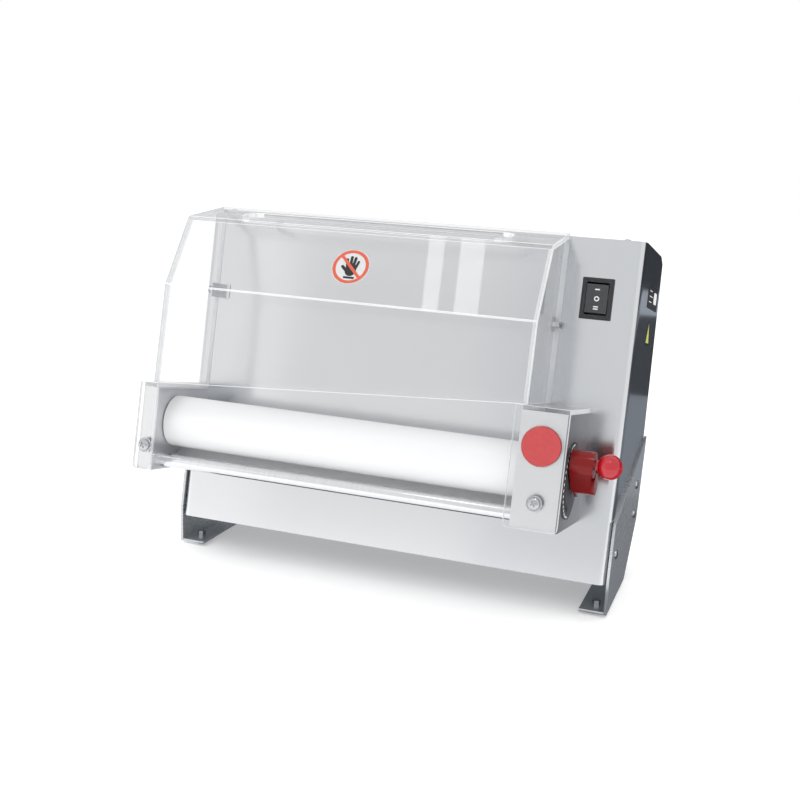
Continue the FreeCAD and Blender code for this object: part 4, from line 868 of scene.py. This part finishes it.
label_low, label_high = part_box("side_labels")
SIDE = Matrix.Translation((label_low.x, CORNER.y, CORNER.z)) @ Matrix.Rotation(-LEAN, 4, "X") @ Matrix((
    (0, 0, 1, 0), (1, 0, 0, 0), (0, 1, 0, 0), (0, 0, 0, 1)))
PLATE_D, PLATE_H, PLATE_LONG, PLATE_TALL, PLATE_WALL = 0.062, 0.299, 0.090, 0.027, 0.0004
FLAT_INK = 0.0001


def panel_outline(d, h, long, tall, round_off=0.002):
    """A rounded rectangle whose lower front corner is at (d, h)."""
    points = []
    for cx, cy, begin in ((d + long - round_off, h + tall - round_off, 0),
                          (d + round_off, h + tall - round_off, 90),
                          (d + round_off, h + round_off, 180), (d + long - round_off, h + round_off, 270)):
        for step in range(5):
            a = math.radians(begin + 90 * step / 4)
            points.append((cx + round_off * math.cos(a), cy + round_off * math.sin(a)))
    return points


def on_side(name, outline, base, thickness, finish):
    return print_on(name, outline, base, thickness, SIDE, finish, "side_labels")


plate = on_side("rating_plate_film", panel_outline(PLATE_D, PLATE_H, PLATE_LONG, PLATE_TALL), 0.0, PLATE_WALL,
                black_print)
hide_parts("side_labels")
for row in range(3):
    long = 0.022 + 0.006 * (row % 2)
    line = panel_outline(PLATE_D + 0.010, PLATE_H + 0.007 + row * 0.006, long, 0.0009, 0.0003)
    on_side(f"rating_plate_line_{row}", line, PLATE_WALL, FLAT_INK, white_print)
window = panel_outline(PLATE_D + 0.050, PLATE_H + 0.007, 0.026, 0.013, 0.003)
on_side("rating_plate_panel", window, PLATE_WALL, FLAT_INK, white_print)

yellow_print = mottled("Yellow print", 700.0, (0.35, 0.2), ((0.55, 0.60, 0.10), (0.66, 0.70, 0.16)), ior=1.45)
TRIANGLE_MIDDLE, TRIANGLE_WIDE, TRIANGLE_TALL, TRIANGLE_TOP = 0.098, 0.032, 0.028, 0.287
BORDER, BORDER_WALL = 0.78, 0.0003
centre = Vector((TRIANGLE_MIDDLE, TRIANGLE_TOP - 0.0187))
outer = [Vector((TRIANGLE_MIDDLE - TRIANGLE_WIDE / 2, TRIANGLE_TOP - TRIANGLE_TALL)),
         Vector((TRIANGLE_MIDDLE + TRIANGLE_WIDE / 2, TRIANGLE_TOP - TRIANGLE_TALL)),
         Vector((TRIANGLE_MIDDLE, TRIANGLE_TOP))]
inner = [centre + (corner - centre) * BORDER for corner in outer]
on_side("triangle_border", outer, 0.0, BORDER_WALL, black_print)
on_side("triangle_field", inner, BORDER_WALL, FLAT_INK, yellow_print)


# ---------------------------------------------------------------- rocker switch
# A moulded black bezel snapped into the front panel and a glossy black rocker with three
# printed marks: a bar at the top, a ring in the middle and two bars at the bottom.

switch_black = mottled("Moulded black", 1600.0, (0.30, 0.14), relief=(0.00002, 0.3),
                       base_color=(0.018, 0.019, 0.021, 1), ior=1.5)
rocker_gloss = mottled("Glossy black", 80.0, (0.18, 0.12), detail=3.0,
                       base_color=(0.030, 0.033, 0.038, 1), ior=1.5, coat_weight=0.4)
eased("switch_bezel", switch_black, 0.0009, 3)
eased("switch_rocker", rocker_gloss, 0.0005, 2)
dress(switch_black, "stop_contact", "terminal_box")

switch_low, switch_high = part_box("switch_rocker")
rocker_x = (switch_low.x + switch_high.x) / 2
SWITCH_H, ROCKER_PROUD = 0.2994, 0.0016
ROCKER_TILT = math.atan2(0.0018, 0.0152)
MARK_LONG, MARK_WALL = 0.0050, 0.00015


def rocker_plane(tilt):
    """The plane of one half of the rocker's face, X to the right, Y up and Z out."""
    hinge = Matrix.Translation((rocker_x, CORNER.y, CORNER.z)) @ Matrix.Rotation(-LEAN, 4, "X")
    stand = Matrix.Translation((0, -ROCKER_PROUD, SWITCH_H)) @ Matrix.Rotation(tilt, 4, "X")
    return hinge @ stand @ Matrix(((1, 0, 0, 0), (0, 0, -1, 0), (0, 1, 0, 0), (0, 0, 0, 1)))


upper, lower = rocker_plane(ROCKER_TILT), rocker_plane(-ROCKER_TILT)
for name, plane, middle, tall in (("bar", upper, 0.0098, 0.0013), ("low_a", lower, -0.0086, 0.0011),
                                  ("low_b", lower, -0.0110, 0.0011)):
    under, over = middle - tall / 2, middle + tall / 2
    outline = [(-MARK_LONG / 2, under), (MARK_LONG / 2, under), (MARK_LONG / 2, over), (-MARK_LONG / 2, over)]
    print_on("switch_mark_" + name, outline, 0, MARK_WALL, plane, white_print, "switch_rocker")
for index, (plane, first) in enumerate(((upper, 0), (lower, 180))):
    band = arc_band(0.0016, 0.0027, first, first + 180, 14)
    print_on(f"switch_mark_ring_{index}", band, 0, MARK_WALL, plane, white_print, "switch_rocker")


# ---------------------------------------------------------------- stop button
# A flat moulded red button in the hole of the right shoe. Its two stems slide through the
# housing's front and press the stop contact inside.

button_red = mottled("Moulded red", 240.0, (0.34, 0.12), ((0.46, 0.040, 0.044), (0.53, 0.058, 0.062)), 3.0,
                     ior=1.47)
eased("stop_button", button_red, 0.0005, 2)


# ---------------------------------------------------------------- drive
# The gearmotor stands on a bracket inside the body and turns the rear roller by a belt. It is
# seen only through the louvres: painted motor, cast gearbox, rubber belt.

motor_paint = mottled("Dark motor paint", 90.0, (0.35, 0.2), ((0.05, 0.055, 0.06), (0.08, 0.085, 0.09)), 4.0,
                      ior=1.5)
dress(motor_paint, "motor")
cast = mottled("Die-cast aluminium", 600.0, (0.45, 0.2), ((0.36, 0.37, 0.38), (0.50, 0.51, 0.52)), 4.0,
               relief=(0.0001, 0.4), metallic=0.9, ior=1.5)
dress(cast, "gearbox")
dress(rubber, "drive_belt")


# ---------------------------------------------------------------- studio
# A plain pale floor and soft even light from all round, with a broad key from the upper left.
# Self-lit cards that show only in gloss give the steel, the enamel and the acrylic their bands.

HALF_FLOOR = 12.0
floor_mesh = bpy.data.meshes.new("floor")
floor_corners = [(x * HALF_FLOOR, y * HALF_FLOOR, 0) for x, y in ((-1, -1), (1, -1), (1, 1), (-1, 1))]
floor_mesh.from_pydata(floor_corners, [], [(0, 1, 2, 3)])
floor = new_piece("floor", floor_mesh)
paper = Finish("White paper", base_color=(0.93, 0.93, 0.93, 1), roughness=0.9, specular_ior_level=0.1,
               emission_color=(1, 1, 1, 1), emission_strength=0.28)
floor_mesh.materials.append(paper.material)


def card(name, left, right, near, far, colour, strength):
    """A self-lit plane that only shows in gloss. It spans left to right in X, from the (y, z) of
    its near edge to the (y, z) of its far edge."""
    paint = Finish(name, base_color=(0.0, 0.0, 0.0, 1), roughness=1.0, specular_ior_level=0.0,
                   emission_color=(*colour, 1.0), emission_strength=strength)
    mesh = bpy.data.meshes.new(name)
    mesh.from_pydata([(left, *near), (right, *near), (right, *far), (left, *far)], [], [(0, 1, 2, 3)])
    mesh.materials.append(paint.material)
    piece = new_piece(name, mesh)
    piece.visible_camera = False
    piece.visible_diffuse = False
    piece.visible_shadow = False
    piece.visible_transmission = False
    return piece


SHADE, WHITE, GREY = (0.80, 0.88, 1.0), (1.0, 1.0, 1.0), (0.97, 0.98, 1.0)
SKEW = 0.14             # how much nearer the right end of a side card stands
for name, bottom, top, strength in (("foot", 0.0, 0.15, 0.26), ("middle", 0.15, 0.265, 0.07),
                                    ("gap", 0.265, 0.30, 0.42), ("upper", 0.30, 0.62, 0.05)):
    shade = card("card_" + name, 0.10, 2.2, (0.44, bottom), (0.44, top), SHADE, strength)
    for index in (1, 2):
        shade.data.vertices[index].co.y -= SKEW
# A dim card on the floor under and to the right of the machine, seen only in gloss: painted shade that the
# skids and lower parts reflect, in place of the shade the machine casts.
card("card_floor", -0.24, 1.6, (-0.13, 0.001), (0.44, 0.001), SHADE, 0.14)
card("bright_left", -2.2, -0.72, (-1.27, 0.0), (-1.27, 1.2), WHITE, 1.22)
card("grey_right", -0.20, 1.6, (-1.27, 0.0), (-1.27, 1.1), GREY, 0.90)
card("spark", 0.25, 0.36, (-0.66, 1.27), (-0.55, 1.27), WHITE, 24.0)
card("window_left", -0.455, -0.415, (-1.02, 1.62), (-0.62, 1.86), WHITE, 3.6)
card("window_right", -0.375, -0.315, (-1.02, 1.62), (-0.62, 1.86), WHITE, 3.6)

world = bpy.data.worlds.new("Soft box")
bpy.context.scene.world = world
world.use_nodes = True
sky = world.node_tree.nodes["Background"]
sky.inputs["Color"].default_value = (1.0, 1.0, 1.0, 1.0)
sky.inputs["Strength"].default_value = 1.0


def soft_light(name, place, aim, width, power):
    lamp = bpy.data.lights.new(name, "AREA")
    lamp.shape = "DISK"
    lamp.size = width
    lamp.energy = power
    holder = bpy.data.objects.new(name, lamp)
    bpy.context.scene.collection.objects.link(holder)
    holder.visible_glossy = False
    holder.location = place
    holder.rotation_euler = (Vector(aim) - Vector(place)).to_track_quat("-Z", "Y").to_euler()


soft_light("key", (-1.1, -1.3, 1.9), (0, 0, 0.15), 1.2, 12)
soft_light("top", (0.2, 0.5, 2.0), (0, 0, 0.2), 1.4, 6)

AZIMUTH, ELEVATION, ROLL = math.radians(18.21), math.radians(2.58), math.radians(6.42)
FOCUS, DISTANCE, LENS = Vector((2.67, 0.0, 167.5)), 1303.8, 52.77
back = Vector((math.sin(AZIMUTH) * math.cos(ELEVATION), -math.cos(AZIMUTH) * math.cos(ELEVATION),
               math.sin(ELEVATION)))
side = Vector((math.cos(AZIMUTH), math.sin(AZIMUTH), 0.0))
rise = side.cross(-back)
across = side * math.cos(ROLL) + rise * math.sin(ROLL)
upward = rise * math.cos(ROLL) - side * math.sin(ROLL)
axes = [Matrix.Rotation(-LEAN, 3, "X") @ way for way in (across, upward, back)]
camera_data = bpy.data.cameras.new("camera")
camera_data.lens = LENS
camera_data.sensor_width = 36.0
camera = bpy.data.objects.new("camera", camera_data)
bpy.context.scene.collection.objects.link(camera)
stand = Matrix.Translation(LEANED @ (FOCUS + back * DISTANCE))
camera.matrix_world = stand @ Matrix(axes).transposed().to_4x4()
bpy.context.scene.camera = camera
bpy.context.scene.view_settings.view_transform = "Standard"

for helper_part in (hood, pan, skid_pan, bolt, guard_pan, guard_small, washer, dot):
    bpy.data.objects.remove(helper_part)
